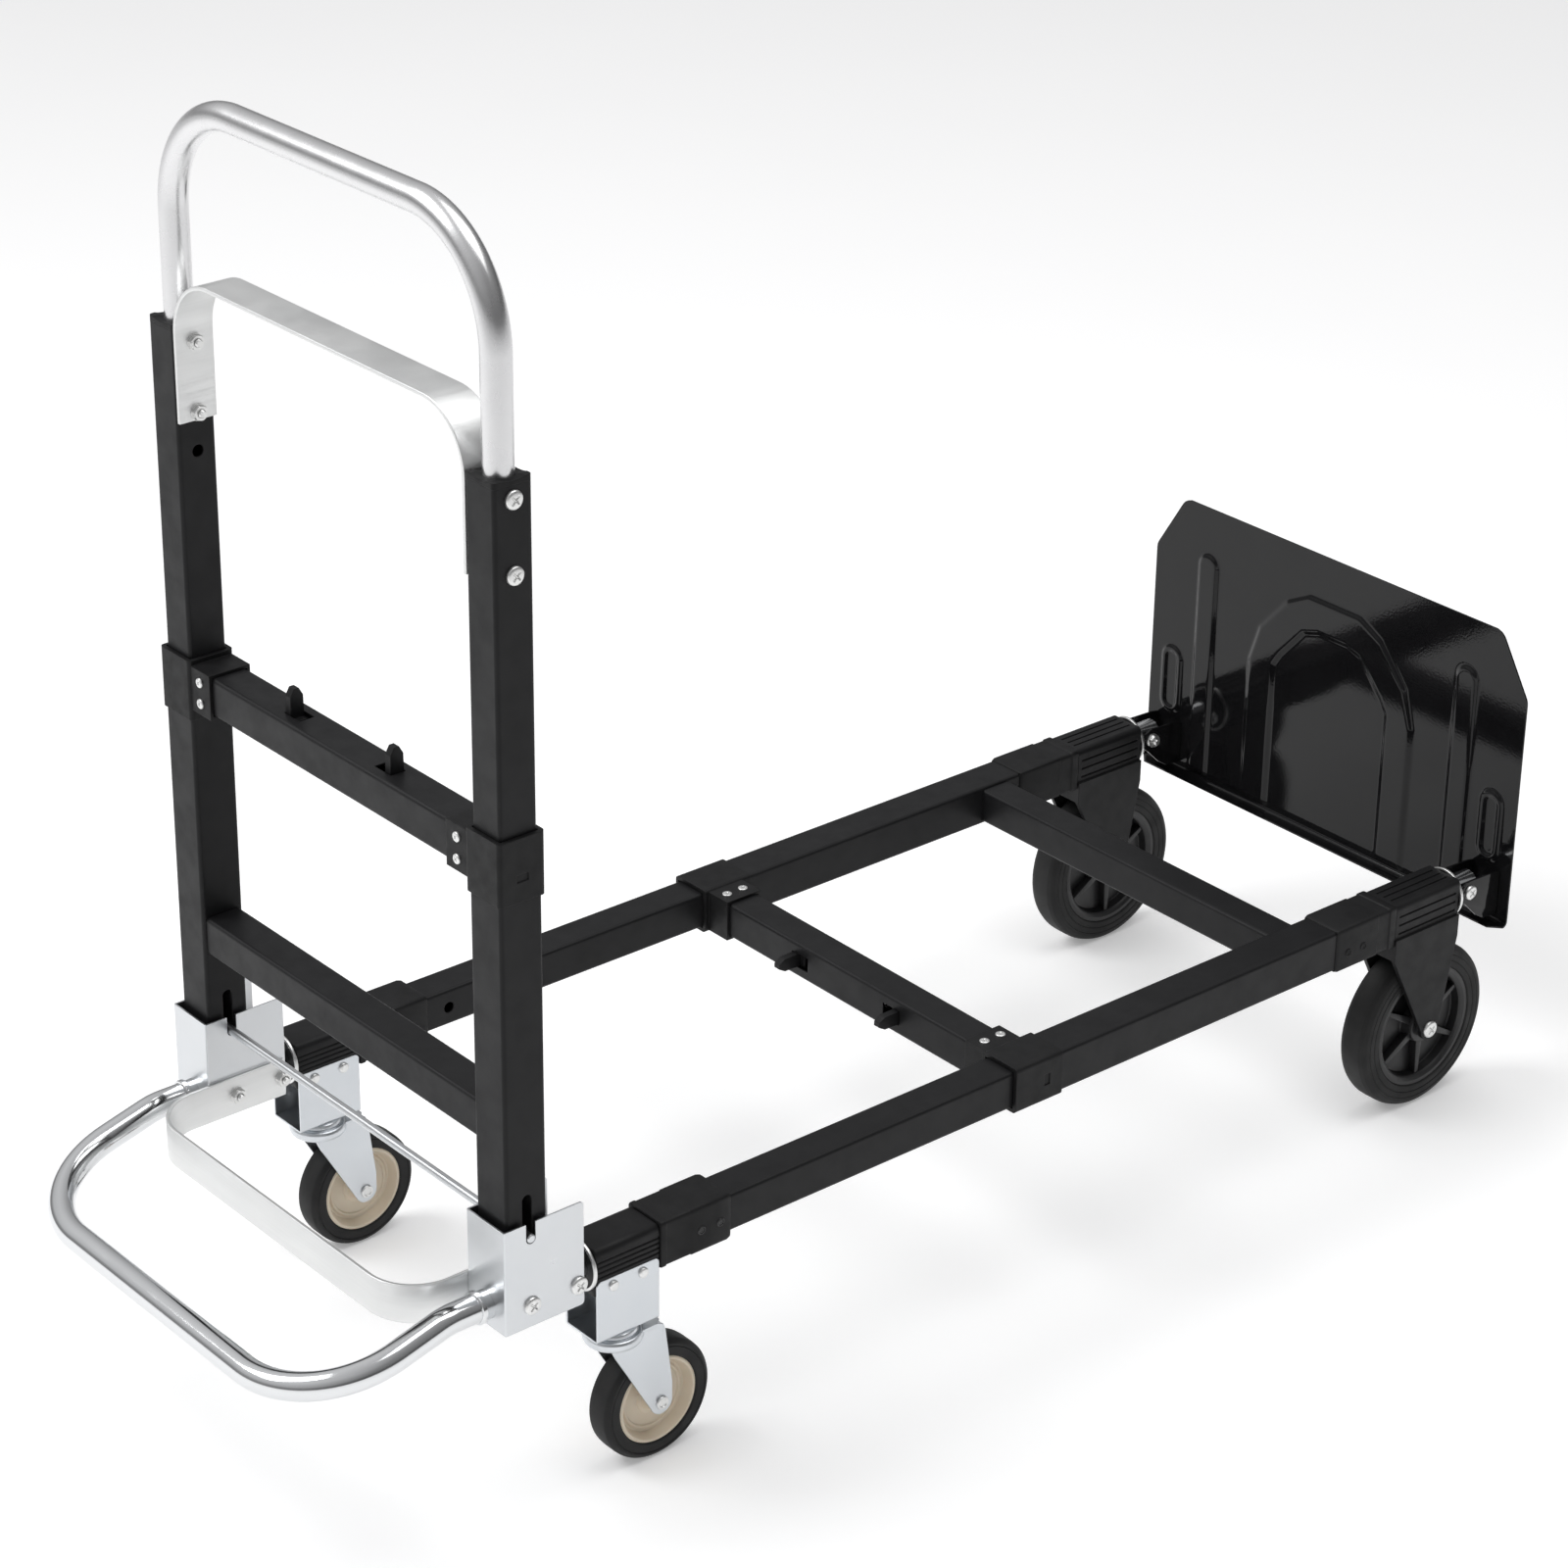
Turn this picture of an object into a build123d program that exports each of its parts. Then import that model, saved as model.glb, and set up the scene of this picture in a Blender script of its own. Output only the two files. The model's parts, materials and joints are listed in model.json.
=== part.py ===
"""Convertible hand truck: a telescoping platform base on four folding wheels, a telescoping
upright that folds over it, and a folding toe plate.

Millimetres, +Z up.  X runs across the truck, +Y points from the handle end to the toe plate end.
The origin is at the middle of the whole outline, on the floor.
"""
from build123d import *
import math
import os

os.makedirs("parts", exist_ok=True)

# ---- driving dimensions -------------------------------------------------------------------
rail_x = 191.0            # centre line of the rails and uprights, each side of the middle
rail_z = 190.0            # height of the rails' centre line above the floor
upright_y = -425.25       # centre line of the upright tubes

outer_tube = 36.0         # square tube of the outer rails and lower uprights
inner_tube = 32.0         # square tube of the inner rails and upper uprights
bar_tube = 31.0           # square tube of the cross bars
tube_wall = 1.5
round_tube = 22.0         # round tube of the handle, the front loop and the stub tubes
round_wall = 1.2

collar_size = 39.6        # outside of the plastic collars
collar_lip = 3.0          # end wall of a collar, closing down to the inner tube

base_latch_back = 496.0   # distances behind the upright's centre line
base_hole_back = 210.0
rear_bar_back = 806.7
mid_collar_back = (474.0, 523.5)
rear_collar_back = (835.0, 906.5)
end_collar_back = (120.3, 187.2)
outer_rail_back = (477.5, 903.4)
inner_rail_back = (124.0, 560.0)
stub_back = (862.0, 1017.0)
toe_bolt_back = 1003.0
toe_face_back = 1040.0

rod_up = 56.0             # heights above the rails' centre line
foot_up = 44.0
lower_bar_up = 141.7
upright_latch_up = 351.8
upright_hole_up = 535.0
upright_collar_up = (325.0, 373.6)
inner_upright_up = (280.0, 630.0)
strip_leg_up = 560.0
strip_top_up = 675.0
handle_top_up = 800.0
handle_bolt_up = (566.0, 620.0)

latch_tab_x = 62.0
latch_travel = 10.0
pin_radius = 4.0
pin_hole_radius = 4.75
rod_radius = 3.5
slot_width = 8.5
bolt_radius = 3.0
bolt_hole_radius = 3.05

rear_wheel_radius = 75.0
rear_axle = (959.0, -115.0)     # behind the upright, above the rails' centre line
caster_radius = 50.0
caster_pin_back = 90.0
caster_axle = (124.0, -140.0)

# ---- derived sizes ------------------------------------------------------------------------
outer_half = outer_tube / 2
inner_half = inner_tube / 2
bar_half = bar_tube / 2
round_radius = round_tube / 2
collar_half = collar_size / 2
outer_bore = outer_tube - 2 * tube_wall
inner_bore = inner_tube - 2 * tube_wall
pin_tip_x = rail_x - inner_half - 0.6      # the pins stop just short of the inner tubes
socket_depth = 38.0
socket_x = rail_x - outer_half - 21.0      # middle of the socket bore in the latch collars
sides = (1, -1)
side_names = {1: "right", -1: "left"}


def back(distance):
    """Y of a point this far behind the upright's centre line."""
    return upright_y + distance


def up(height):
    """Z of a point this far above the rails' centre line."""
    return rail_z + height


def facing(y):
    """Vertical plane across the truck at y: local x is X, local y is Z, normal is -Y."""
    return Plane(origin=(0, y, 0), x_dir=(1, 0, 0), z_dir=(0, -1, 0))


def side_plane(x):
    """Vertical plane along the truck at x: local x is Y, local y is Z, normal is +X."""
    return Plane(origin=(x, 0, 0), x_dir=(0, 1, 0), z_dir=(1, 0, 0))


def save(part, label):
    part.label = label
    export_step(part, f"parts/{label}.step")


def tube_profile(size, centres):
    """Square tube section at each centre of the current sketch."""
    with Locations(*centres):
        RectangleRounded(size, size, 3.0)
    with Locations(*centres):
        RectangleRounded(size - 2 * tube_wall, size - 2 * tube_wall, 1.6, mode=Mode.SUBTRACT)


def drill_x(radius, length, points):
    """Cut round holes along X, centred on the points."""
    with Locations(*points):
        Cylinder(radius, length, rotation=(0, 90, 0), mode=Mode.SUBTRACT)


# ---- rear half of the base ----------------------------------------------------------------
with BuildPart() as outer_rails:
    with BuildSketch(facing(back(outer_rail_back[0]))):
        tube_profile(outer_tube, [(s * rail_x, rail_z) for s in sides])
    extrude(amount=outer_rail_back[0] - outer_rail_back[1])
    drill_x(pin_hole_radius, 4, [(s * (rail_x - outer_half + 0.75), back(base_latch_back), rail_z) for s in sides])
save(outer_rails.part, "outer_rails")

with BuildPart() as rear_cross_tube:
    length = 2 * (rail_x - outer_half)
    with BuildSketch(side_plane(-length / 2)):
        tube_profile(bar_tube, [(back(rear_bar_back), rail_z)])
    extrude(amount=length)
save(rear_cross_tube.part, "rear_cross_tube")

with BuildPart() as mid_collars:
    start, end = mid_collar_back
    middle = (start + end) / 2
    with BuildSketch(facing(back(start))):
        with Locations(*[(s * rail_x, rail_z) for s in sides]):
            RectangleRounded(collar_size, collar_size, 3.5)
    extrude(amount=start - end)
    with Locations(*[(s * (rail_x - collar_half - 11.5), back(base_latch_back), rail_z) for s in sides]):
        Box(25.0, 36.0, 36.0)
    with Locations(*[(s * rail_x, back(middle), rail_z) for s in sides]):
        Box(inner_tube + 0.7, end - start + 2, inner_tube + 0.7, mode=Mode.SUBTRACT)
    with Locations(*[(s * rail_x, back(middle + collar_lip), rail_z) for s in sides]):
        Box(outer_tube + 0.02, end - start, outer_tube + 0.02, mode=Mode.SUBTRACT)
    with Locations(*[(s * socket_x, back(base_latch_back), rail_z) for s in sides]):
        Box(socket_depth, bar_tube + 0.02, bar_tube + 0.02, mode=Mode.SUBTRACT)
    with Locations(*[(s * (rail_x + collar_half), back(base_latch_back + 11), rail_z) for s in sides]):
        Box(1.6, 6.0, 10.0, mode=Mode.SUBTRACT)
    drill_x(pin_hole_radius, 6, [(s * (rail_x - outer_half - 1), back(base_latch_back), rail_z) for s in sides])
save(mid_collars.part, "mid_collars")

with BuildPart() as rear_collars:
    start, end = rear_collar_back
    middle = (start + end) / 2
    with BuildSketch(facing(back(start))):
        with Locations(*[(s * rail_x, rail_z) for s in sides]):
            RectangleRounded(collar_size, collar_size, 3.5)
    extrude(amount=start - end)
    with Locations(*[(s * rail_x, back(middle - collar_lip), rail_z) for s in sides]):
        Box(outer_tube + 0.02, end - start, outer_tube + 0.02, mode=Mode.SUBTRACT)
    with Locations(*[(s * rail_x, back(end), rail_z) for s in sides]):
        Cylinder(round_radius + 0.02, 30, rotation=(90, 0, 0), mode=Mode.SUBTRACT)
    drill_x(2.2, 5.0, [(s * (rail_x + collar_half), back(d), up(-4)) for s in sides for d in (849.0, 867.0)])
save(rear_collars.part, "rear_collars")


def latch_bar(along, tab_side):
    """Square cross bar between the sockets; along is its (y, z), tab_side the direction its slots face."""
    length = 2 * 167.0
    with BuildPart() as bar:
        with BuildSketch(side_plane(-length / 2)):
            tube_profile(bar_tube, [along])
        extrude(amount=length)
        y, z = along
        for s in sides:
            centre_x = s * (latch_tab_x - 5.5)
            if tab_side == "front":
                with Locations((centre_x, y - bar_half, z)):
                    Box(20.0, 6.0, 13.0, mode=Mode.SUBTRACT)
            else:
                with Locations((centre_x, y, z + bar_half)):
                    Box(20.0, 13.0, 6.0, mode=Mode.SUBTRACT)
    return bar.part


base_latch_at = (back(base_latch_back), rail_z)
upright_latch_at = (upright_y, up(upright_latch_up))
save(latch_bar(base_latch_at, "front"), "base_latch_bar")


def latch_slider(side, along, tab_side):
    """Squeeze tab, pull block and locking pin of one latch."""
    y, z = along
    reach = bar_half + 20.0
    with BuildPart() as slider:
        with Locations((side * latch_tab_x, y, z)):
            Box(16.0, 24.0, 24.0)
        with Locations((side * (latch_tab_x + pin_tip_x) / 2, y, z)):
            Cylinder(pin_radius, pin_tip_x - latch_tab_x, rotation=(0, 90, 0))
        chamfer(slider.faces().sort_by(Axis.X)[-1 if side > 0 else 0].edges(), 1.2)
        outline = [(8, 6), (reach - 6, 5.5), (reach, 2), (reach, -2), (reach - 6, -5.5), (8, -6)]
        with BuildSketch(side_plane(side * latch_tab_x - 3.25)):
            with BuildLine():
                if tab_side == "front":
                    Polyline(*[(y - out, z + across) for out, across in outline], close=True)
                else:
                    Polyline(*[(y + across, z + out) for out, across in outline], close=True)
            make_face()
        extrude(amount=6.5)
    return slider.part


def latch_springs(along):
    """The two compression springs behind the sliders, meeting near the middle of the bar."""
    y, z = along
    coils = []
    for side in sides:
        with BuildPart() as spring:
            with BuildLine() as coil:
                Helix(pitch=5.5, height=38.0, radius=7.0, center=(side * 5.0, y, z), direction=(side, 0, 0))
            with BuildSketch(Plane(origin=coil.line @ 0, z_dir=coil.line % 0)):
                Circle(0.8)
            sweep(is_frenet=True)
        coils += spring.part.solids()
    return Compound(coils)


for s in sides:
    save(latch_slider(s, base_latch_at, "front"), f"base_latch_{side_names[s]}")
    save(latch_slider(s, upright_latch_at, "up"), f"upright_latch_{side_names[s]}")
save(latch_springs(base_latch_at), "base_latch_springs")
save(latch_springs(upright_latch_at), "upright_latch_springs")

with BuildPart() as base_latch_rivets:
    with BuildSketch(Plane.XY.offset(rail_z + 18.01)):
        with Locations(*[(s * 159.0, back(base_latch_back + d)) for s in sides for d in (-8.5, 8.5)]):
            Circle(4.2)
    extrude(amount=1.4, taper=25)
save(base_latch_rivets.part, "base_latch_rivets")


def stepped_ring(radius, inner, thickness, y):
    """Ring around each rail's centre line, its front face at y."""
    with BuildPart() as rings:
        with BuildSketch(facing(y)):
            with Locations(*[(s * rail_x, rail_z) for s in sides]):
                Circle(radius)
                Circle(inner, mode=Mode.SUBTRACT)
        extrude(amount=-thickness)
        fillet(rings.edges().filter_by(GeomType.CIRCLE).group_by(SortBy.LENGTH)[-1], 0.6)
    return rings.part


with BuildPart() as rear_stub_tubes:
    start, end = stub_back
    with BuildSketch(facing(back(start))):
        with Locations(*[(s * rail_x, rail_z) for s in sides]):
            Circle(round_radius)
            Circle(round_radius - round_wall, mode=Mode.SUBTRACT)
    extrude(amount=start - end)
    drill_x(bolt_hole_radius, 30, [(s * rail_x, back(toe_bolt_back), rail_z) for s in sides])
save(rear_stub_tubes.part, "rear_stub_tubes")

with BuildPart() as stub_bushes:
    start, end = stub_back[0], rear_collar_back[1] - collar_lip
    with BuildSketch(facing(back(start + 1))):
        with Locations(*[(s * rail_x, rail_z) for s in sides]):
            RectangleRounded(outer_bore - 0.02, outer_bore - 0.02, 1.6)
            Circle(round_radius + 0.02, mode=Mode.SUBTRACT)
    extrude(amount=start + 1 - end)
save(stub_bushes.part, "stub_bushes")

rear_sleeve_back = (907.0, 984.8)
front_sleeve_back = (61.0, 120.0)
save(stepped_ring(21.7, round_radius + 0.02, 2.6, back(rear_sleeve_back[1] + 0.35)), "rear_rings")

# ---- front half of the base ---------------------------------------------------------------
with BuildPart() as inner_rails:
    start, end = inner_rail_back
    with BuildSketch(facing(back(start))):
        tube_profile(inner_tube, [(s * rail_x, rail_z) for s in sides])
    extrude(amount=start - end)
    holes = [base_hole_back, base_latch_back]
    drill_x(pin_hole_radius, 5, [(s * (rail_x - inner_half), back(d), rail_z) for s in sides for d in holes])
save(inner_rails.part, "inner_rails")

with BuildPart() as end_collars:
    start, end = end_collar_back
    with BuildSketch(facing(back(start))):
        with Locations(*[(s * rail_x, rail_z) for s in sides]):
            RectangleRounded(collar_size, collar_size, 3.5)
    extrude(amount=start - end)
    middle = (start + collar_lip + end) / 2
    with Locations(*[(s * rail_x, back(middle + 1), rail_z) for s in sides]):
        Box(inner_tube + 0.02, end - start - collar_lip + 2, inner_tube + 0.02, mode=Mode.SUBTRACT)
    with Locations(*[(s * rail_x, back(start), rail_z) for s in sides]):
        Cylinder(round_radius + 0.02, 20, rotation=(90, 0, 0), mode=Mode.SUBTRACT)
    drill_x(2.2, 12, [(s * (rail_x + inner_half + 3), back(d), up(-1)) for s in sides for d in (158.5, 176.5)])
save(end_collars.part, "end_collars")

with BuildPart() as end_collar_screws:
    points = [(s * (rail_x + inner_half + 2.0), back(d), up(-1)) for s in sides for d in (158.5, 176.5)]
    with Locations(*points):
        Cylinder(2.1, 3.6, rotation=(0, 90, 0))
save(end_collar_screws.part, "end_collar_screws")


bracket_half = 22.3
bracket_front = -23.9
bracket_rear = 47.1
bracket_up = (-17.6, 68.8)
bracket_bolt_back = (0.0, 42.0)
bracket_wall = 1.5

loop_slope = math.radians(15.0)
loop_bend = 60.0
loop_corner = 80.0
loop_bend_back = -52.0
loop_front_back = -180.0
bend_drop = loop_bend * (1 - math.cos(loop_slope))
bend_run = loop_bend * math.sin(loop_slope)
corner_run = (loop_bend_back - bend_run - loop_front_back) / math.cos(loop_slope) - loop_corner


def on_slope(x, run):
    """Point of the loop's sloping part, run along the slope from the end of the bend."""
    return (x, back(loop_bend_back) - bend_run - run * math.cos(loop_slope),
            rail_z - bend_drop - run * math.sin(loop_slope))


bend_middle = (back(loop_bend_back) - loop_bend * math.sin(loop_slope / 2),
               rail_z - loop_bend * (1 - math.cos(loop_slope / 2)))
corner_middle = loop_corner * math.sin(math.pi / 4)

with BuildPart() as front_loop:
    with BuildLine():
        Line((rail_x, back(183.0), rail_z), (rail_x, back(loop_bend_back), rail_z))
        ThreePointArc((rail_x, back(loop_bend_back), rail_z), (rail_x, *bend_middle), on_slope(rail_x, 0))
        Line(on_slope(rail_x, 0), on_slope(rail_x, corner_run))
        ThreePointArc(on_slope(rail_x, corner_run),
                      on_slope(rail_x - loop_corner + corner_middle, corner_run + corner_middle),
                      on_slope(rail_x - loop_corner, corner_run + loop_corner))
        Line(on_slope(rail_x - loop_corner, corner_run + loop_corner),
             on_slope(loop_corner - rail_x, corner_run + loop_corner))
        ThreePointArc(on_slope(loop_corner - rail_x, corner_run + loop_corner),
                      on_slope(loop_corner - rail_x - corner_middle, corner_run + corner_middle),
                      on_slope(-rail_x, corner_run))
        Line(on_slope(-rail_x, corner_run), on_slope(-rail_x, 0))
        ThreePointArc(on_slope(-rail_x, 0), (-rail_x, *bend_middle), (-rail_x, back(loop_bend_back), rail_z))
        Line((-rail_x, back(loop_bend_back), rail_z), (-rail_x, back(183.0), rail_z))
    with BuildSketch(facing(back(183.0))):
        with Locations((rail_x, rail_z)):
            Circle(round_radius)
            Circle(round_radius - round_wall, mode=Mode.SUBTRACT)
    sweep()
    with Locations(*[(s * rail_x, back(-33.0), rail_z) for s in sides]):
        Torus(round_radius + 0.2, 1.8, rotation=(90, 0, 0))
    drill_x(bolt_hole_radius, 30, [(s * rail_x, back(d), rail_z) for s in sides for d in bracket_bolt_back])
save(front_loop.part, "front_loop")

with BuildPart() as leg_bushes:
    with BuildSketch(facing(back(inner_rail_back[0] + 1))):
        with Locations(*[(s * rail_x, rail_z) for s in sides]):
            RectangleRounded(inner_bore - 0.02, inner_bore - 0.02, 1.6)
            Circle(round_radius + 0.02, mode=Mode.SUBTRACT)
    extrude(amount=-58.0)
save(leg_bushes.part, "leg_bushes")

save(stepped_ring(20.9, round_radius + 0.02, 2.6, back(front_sleeve_back[0] - 2.95)), "front_rings")

with BuildPart() as hinge_brackets:
    low, high = bracket_up
    for s in sides:
        with BuildSketch(Plane.XY.offset(up(low))):
            with Locations((s * rail_x, back((bracket_front + bracket_rear) / 2))):
                Rectangle(2 * bracket_half, bracket_rear - bracket_front)
            with Locations((s * rail_x, back((bracket_front + bracket_rear) / 2 + bracket_wall))):
                Rectangle(2 * (bracket_half - bracket_wall), bracket_rear - bracket_front, mode=Mode.SUBTRACT)
        extrude(amount=high - low)
    fillet(hinge_brackets.edges().filter_by(Axis.Z).group_by(Axis.Y)[0], 1.2)
    for s in sides:
        with Locations((s * rail_x, back(bracket_front), rail_z)):
            Cylinder(round_radius + 0.02, 12, rotation=(90, 0, 0), mode=Mode.SUBTRACT)
    with Locations((0, upright_y, up(rod_up))):
        Cylinder(slot_width / 2, 500, rotation=(0, 90, 0), mode=Mode.SUBTRACT)
    with Locations((0, upright_y, up(rod_up + 15))):
        Box(500, slot_width, 30, mode=Mode.SUBTRACT)
    drill_x(bolt_hole_radius, 60, [(s * rail_x, back(d), rail_z) for s in sides for d in bracket_bolt_back])
    fillet(hinge_brackets.edges().filter_by(Axis.X).group_by(Axis.Y)[-1], 3.0)
save(hinge_brackets.part, "hinge_brackets")

lower_strip_x = rail_x - bracket_half - 0.02
strip_thickness = 3.0
strip_width = 32.0


def bent_strip(half_x, foot, top, radius):
    """Section of a flat bar bent to a U, its feet at foot and its outer face at top."""
    inward = strip_thickness if foot > top else -strip_thickness
    with BuildLine() as outer:
        FilletPolyline((half_x, foot), (half_x, top), (-half_x, top), (-half_x, foot), radius=radius)
        Line((-half_x, foot), (half_x, foot))
    make_face(outer.edges())
    inner_x = half_x - strip_thickness
    inner_top = top + inward
    with BuildLine() as inner:
        FilletPolyline((inner_x, foot), (inner_x, inner_top), (-inner_x, inner_top), (-inner_x, foot),
                       radius=radius - strip_thickness)
        Line((-inner_x, foot), (inner_x, foot))
    make_face(inner.edges(), mode=Mode.SUBTRACT)


with BuildPart() as lower_strip:
    with BuildSketch(Plane.XY.offset(up(-strip_width / 2))):
        bent_strip(lower_strip_x, back(44.5), back(-82.0), 42.0)
    extrude(amount=strip_width)
    drill_x(bolt_hole_radius, 20, [(s * lower_strip_x, back(d), rail_z) for s in sides for d in bracket_bolt_back])
    fillet(lower_strip.edges().filter_by(Axis.X).group_by(Axis.Y)[-1], 6.0)
save(lower_strip.part, "lower_strip")


def cross_bolts(points, head_x, nut_x, label):
    """Pan-head bolts along X with a cross recess in each head, and a hex nut on each inner end."""
    with BuildPart() as bolts:
        for s, y, z in points:
            out = Plane(origin=(s * head_x, y, z), x_dir=(0, 1, 0), z_dir=(s, 0, 0))
            with BuildSketch(out):
                Circle(6.6)
            extrude(amount=1.2)
            with BuildSketch(out.offset(1.2)):
                Circle(6.6)
            extrude(amount=2.0, taper=40)
            with BuildSketch(out):
                Circle(bolt_radius)
            extrude(amount=-(head_x - nut_x + 6.0))
            with BuildSketch(out.offset(3.2)):
                Rectangle(5.4, 1.1)
                Rectangle(1.1, 5.4)
            extrude(amount=-1.8, mode=Mode.SUBTRACT)
    with BuildPart() as nuts:
        for s, y, z in points:
            with BuildSketch(Plane(origin=(s * nut_x, y, z), x_dir=(0, 1, 0), z_dir=(-s, 0, 0))):
                RegularPolygon(5.6, 6)
                Circle(bolt_radius + 0.02, mode=Mode.SUBTRACT)
            extrude(amount=4.6)
    save(Compound([*bolts.part.solids(), *nuts.part.solids()]), label)


cross_bolts([(s, back(d), rail_z) for s in sides for d in bracket_bolt_back],
            rail_x + bracket_half + 0.02, lower_strip_x - strip_thickness - 0.02, "bracket_bolts")

# ---- lower upright ------------------------------------------------------------------------
with BuildPart() as lower_uprights:
    low, high = foot_up, upright_collar_up[1] - collar_lip - 0.5
    with BuildSketch(Plane.XY.offset(up(low))):
        tube_profile(outer_tube, [(s * rail_x, upright_y) for s in sides])
    extrude(amount=high - low)
    for s in sides:
        with BuildSketch(side_plane(s * rail_x - 30)):
            with Locations((upright_y, up((rod_up + 85.75) / 2))):
                SlotOverall(85.75 - rod_up + slot_width, slot_width, rotation=90)
        extrude(amount=60, mode=Mode.SUBTRACT)
    drill_x(pin_hole_radius, 4, [(s * (rail_x - outer_half + 0.75), upright_y, up(upright_latch_up)) for s in sides])
save(lower_uprights.part, "lower_uprights")

with BuildPart() as foot_plugs:
    for s in sides:
        with BuildSketch(side_plane(s * rail_x - 16.0)):
            with Locations((upright_y, up(rod_up))):
                Circle(21.0)
            with Locations((upright_y, up(foot_up) + 29.98)):
                Rectangle(60, 60, mode=Mode.SUBTRACT)
            with Locations((upright_y, up(foot_up) + 1.8)):
                Rectangle(outer_bore - 3.5, 4.0)
        extrude(amount=32.0)
save(foot_plugs.part, "foot_plugs")

with BuildPart() as lower_cross_tube:
    length = 2 * (rail_x - outer_half)
    with BuildSketch(side_plane(-length / 2)):
        tube_profile(bar_tube, [(upright_y, up(lower_bar_up))])
    extrude(amount=length)
save(lower_cross_tube.part, "lower_cross_tube")

with BuildPart() as upright_collars:
    low, high = upright_collar_up
    middle = (low + high) / 2
    with BuildSketch(Plane.XY.offset(up(low))):
        with Locations(*[(s * rail_x, upright_y) for s in sides]):
            RectangleRounded(collar_size, collar_size, 3.5)
    extrude(amount=high - low)
    with Locations(*[(s * (rail_x - collar_half - 11.5), upright_y, up(upright_latch_up)) for s in sides]):
        Box(25.0, 36.0, 36.0)
    with Locations(*[(s * rail_x, upright_y, up(middle)) for s in sides]):
        Box(inner_tube + 0.7, inner_tube + 0.7, high - low + 2, mode=Mode.SUBTRACT)
    with Locations(*[(s * rail_x, upright_y, up(middle - collar_lip)) for s in sides]):
        Box(outer_tube + 0.02, outer_tube + 0.02, high - low, mode=Mode.SUBTRACT)
    with Locations(*[(s * socket_x, *upright_latch_at) for s in sides]):
        Box(socket_depth, bar_tube + 0.02, bar_tube + 0.02, mode=Mode.SUBTRACT)
    with Locations(*[(s * (rail_x + collar_half), upright_y, up(middle - 6)) for s in sides]):
        Box(1.6, 10.0, 6.0, mode=Mode.SUBTRACT)
    drill_x(pin_hole_radius, 6, [(s * (rail_x - outer_half - 1), *upright_latch_at) for s in sides])
save(upright_collars.part, "upright_collars")
save(latch_bar(upright_latch_at, "up"), "upright_latch_bar")

with BuildPart() as upright_latch_screws:
    for s in sides:
        for d in (-8.5, 8.5):
            front = Plane(origin=(s * 160.0, upright_y - 18.02, up(upright_latch_up + d)), x_dir=(1, 0, 0),
                          z_dir=(0, -1, 0))
            with BuildSketch(front):
                Circle(3.9)
            extrude(amount=1.8, taper=20)
            with BuildSketch(front.offset(1.8)):
                Rectangle(3.8, 0.9)
                Rectangle(0.9, 3.8)
            extrude(amount=-1.0, mode=Mode.SUBTRACT)
save(upright_latch_screws.part, "upright_latch_screws")

with BuildPart() as lock_rod:
    length = 2 * (rail_x + bracket_half + 1.0)
    with Locations((0, upright_y, up(rod_up))):
        Cylinder(rod_radius, length, rotation=(0, 90, 0))
    chamfer(lock_rod.edges().filter_by(GeomType.CIRCLE), 0.8)
save(lock_rod.part, "lock_rod")

# ---- upper upright and handle -------------------------------------------------------------
bolt_points = [(s, upright_y, up(h)) for s in sides for h in handle_bolt_up]

with BuildPart() as upper_uprights:
    low, high = inner_upright_up
    with BuildSketch(Plane.XY.offset(up(low))):
        tube_profile(inner_tube, [(s * rail_x, upright_y) for s in sides])
    extrude(amount=high - low)
    holes = [upright_hole_up, upright_latch_up]
    drill_x(pin_hole_radius, 5, [(s * (rail_x - inner_half), upright_y, up(h)) for s in sides for h in holes])
    drill_x(bolt_hole_radius, 60, [(s * rail_x, y, z) for s, y, z in bolt_points])
save(upper_uprights.part, "upper_uprights")

with BuildPart() as end_plugs:
    with BuildSketch(Plane.XY.offset(up(556.0))):
        with Locations(*[(s * rail_x, upright_y) for s in sides]):
            RectangleRounded(inner_bore - 0.02, inner_bore - 0.02, 1.6)
    extrude(amount=inner_upright_up[1] - 556.0)
    with BuildSketch(Plane.XY.offset(up(inner_upright_up[1] + 0.02))):
        with Locations(*[(s * rail_x, upright_y) for s in sides]):
            RectangleRounded(inner_tube, inner_tube, 3.0)
    extrude(amount=4.4)
    for s in sides:
        with BuildSketch(facing(upright_y)):
            with Locations((s * rail_x, up(inner_upright_up[1] + 5.6))):
                Ellipse(11.5, 2.6)
        extrude(amount=20, both=True, mode=Mode.SUBTRACT)
        with BuildSketch(side_plane(s * rail_x)):
            with Locations((upright_y, up(inner_upright_up[1] + 5.6))):
                Ellipse(11.5, 2.6)
        extrude(amount=20, both=True, mode=Mode.SUBTRACT)
    with Locations(*[(s * rail_x, upright_y, up(600)) for s in sides]):
        Cylinder(round_radius + 0.02, 120, mode=Mode.SUBTRACT)
    drill_x(bolt_hole_radius, 60, [(s * rail_x, y, z) for s, y, z in bolt_points])
save(end_plugs.part, "end_plugs")

with BuildPart() as push_handle:
    foot = up(548.0)
    top = up(handle_top_up)
    with BuildLine(facing(upright_y)):
        FilletPolyline((rail_x, foot), (rail_x, top), (-rail_x, top), (-rail_x, foot), radius=84.0)
    with BuildSketch(Plane.XY.offset(foot)):
        with Locations((rail_x, upright_y)):
            Circle(round_radius)
            Circle(round_radius - round_wall, mode=Mode.SUBTRACT)
    sweep()
    drill_x(bolt_hole_radius, 60, [(s * rail_x, y, z) for s, y, z in bolt_points])
save(push_handle.part, "push_handle")

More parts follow.
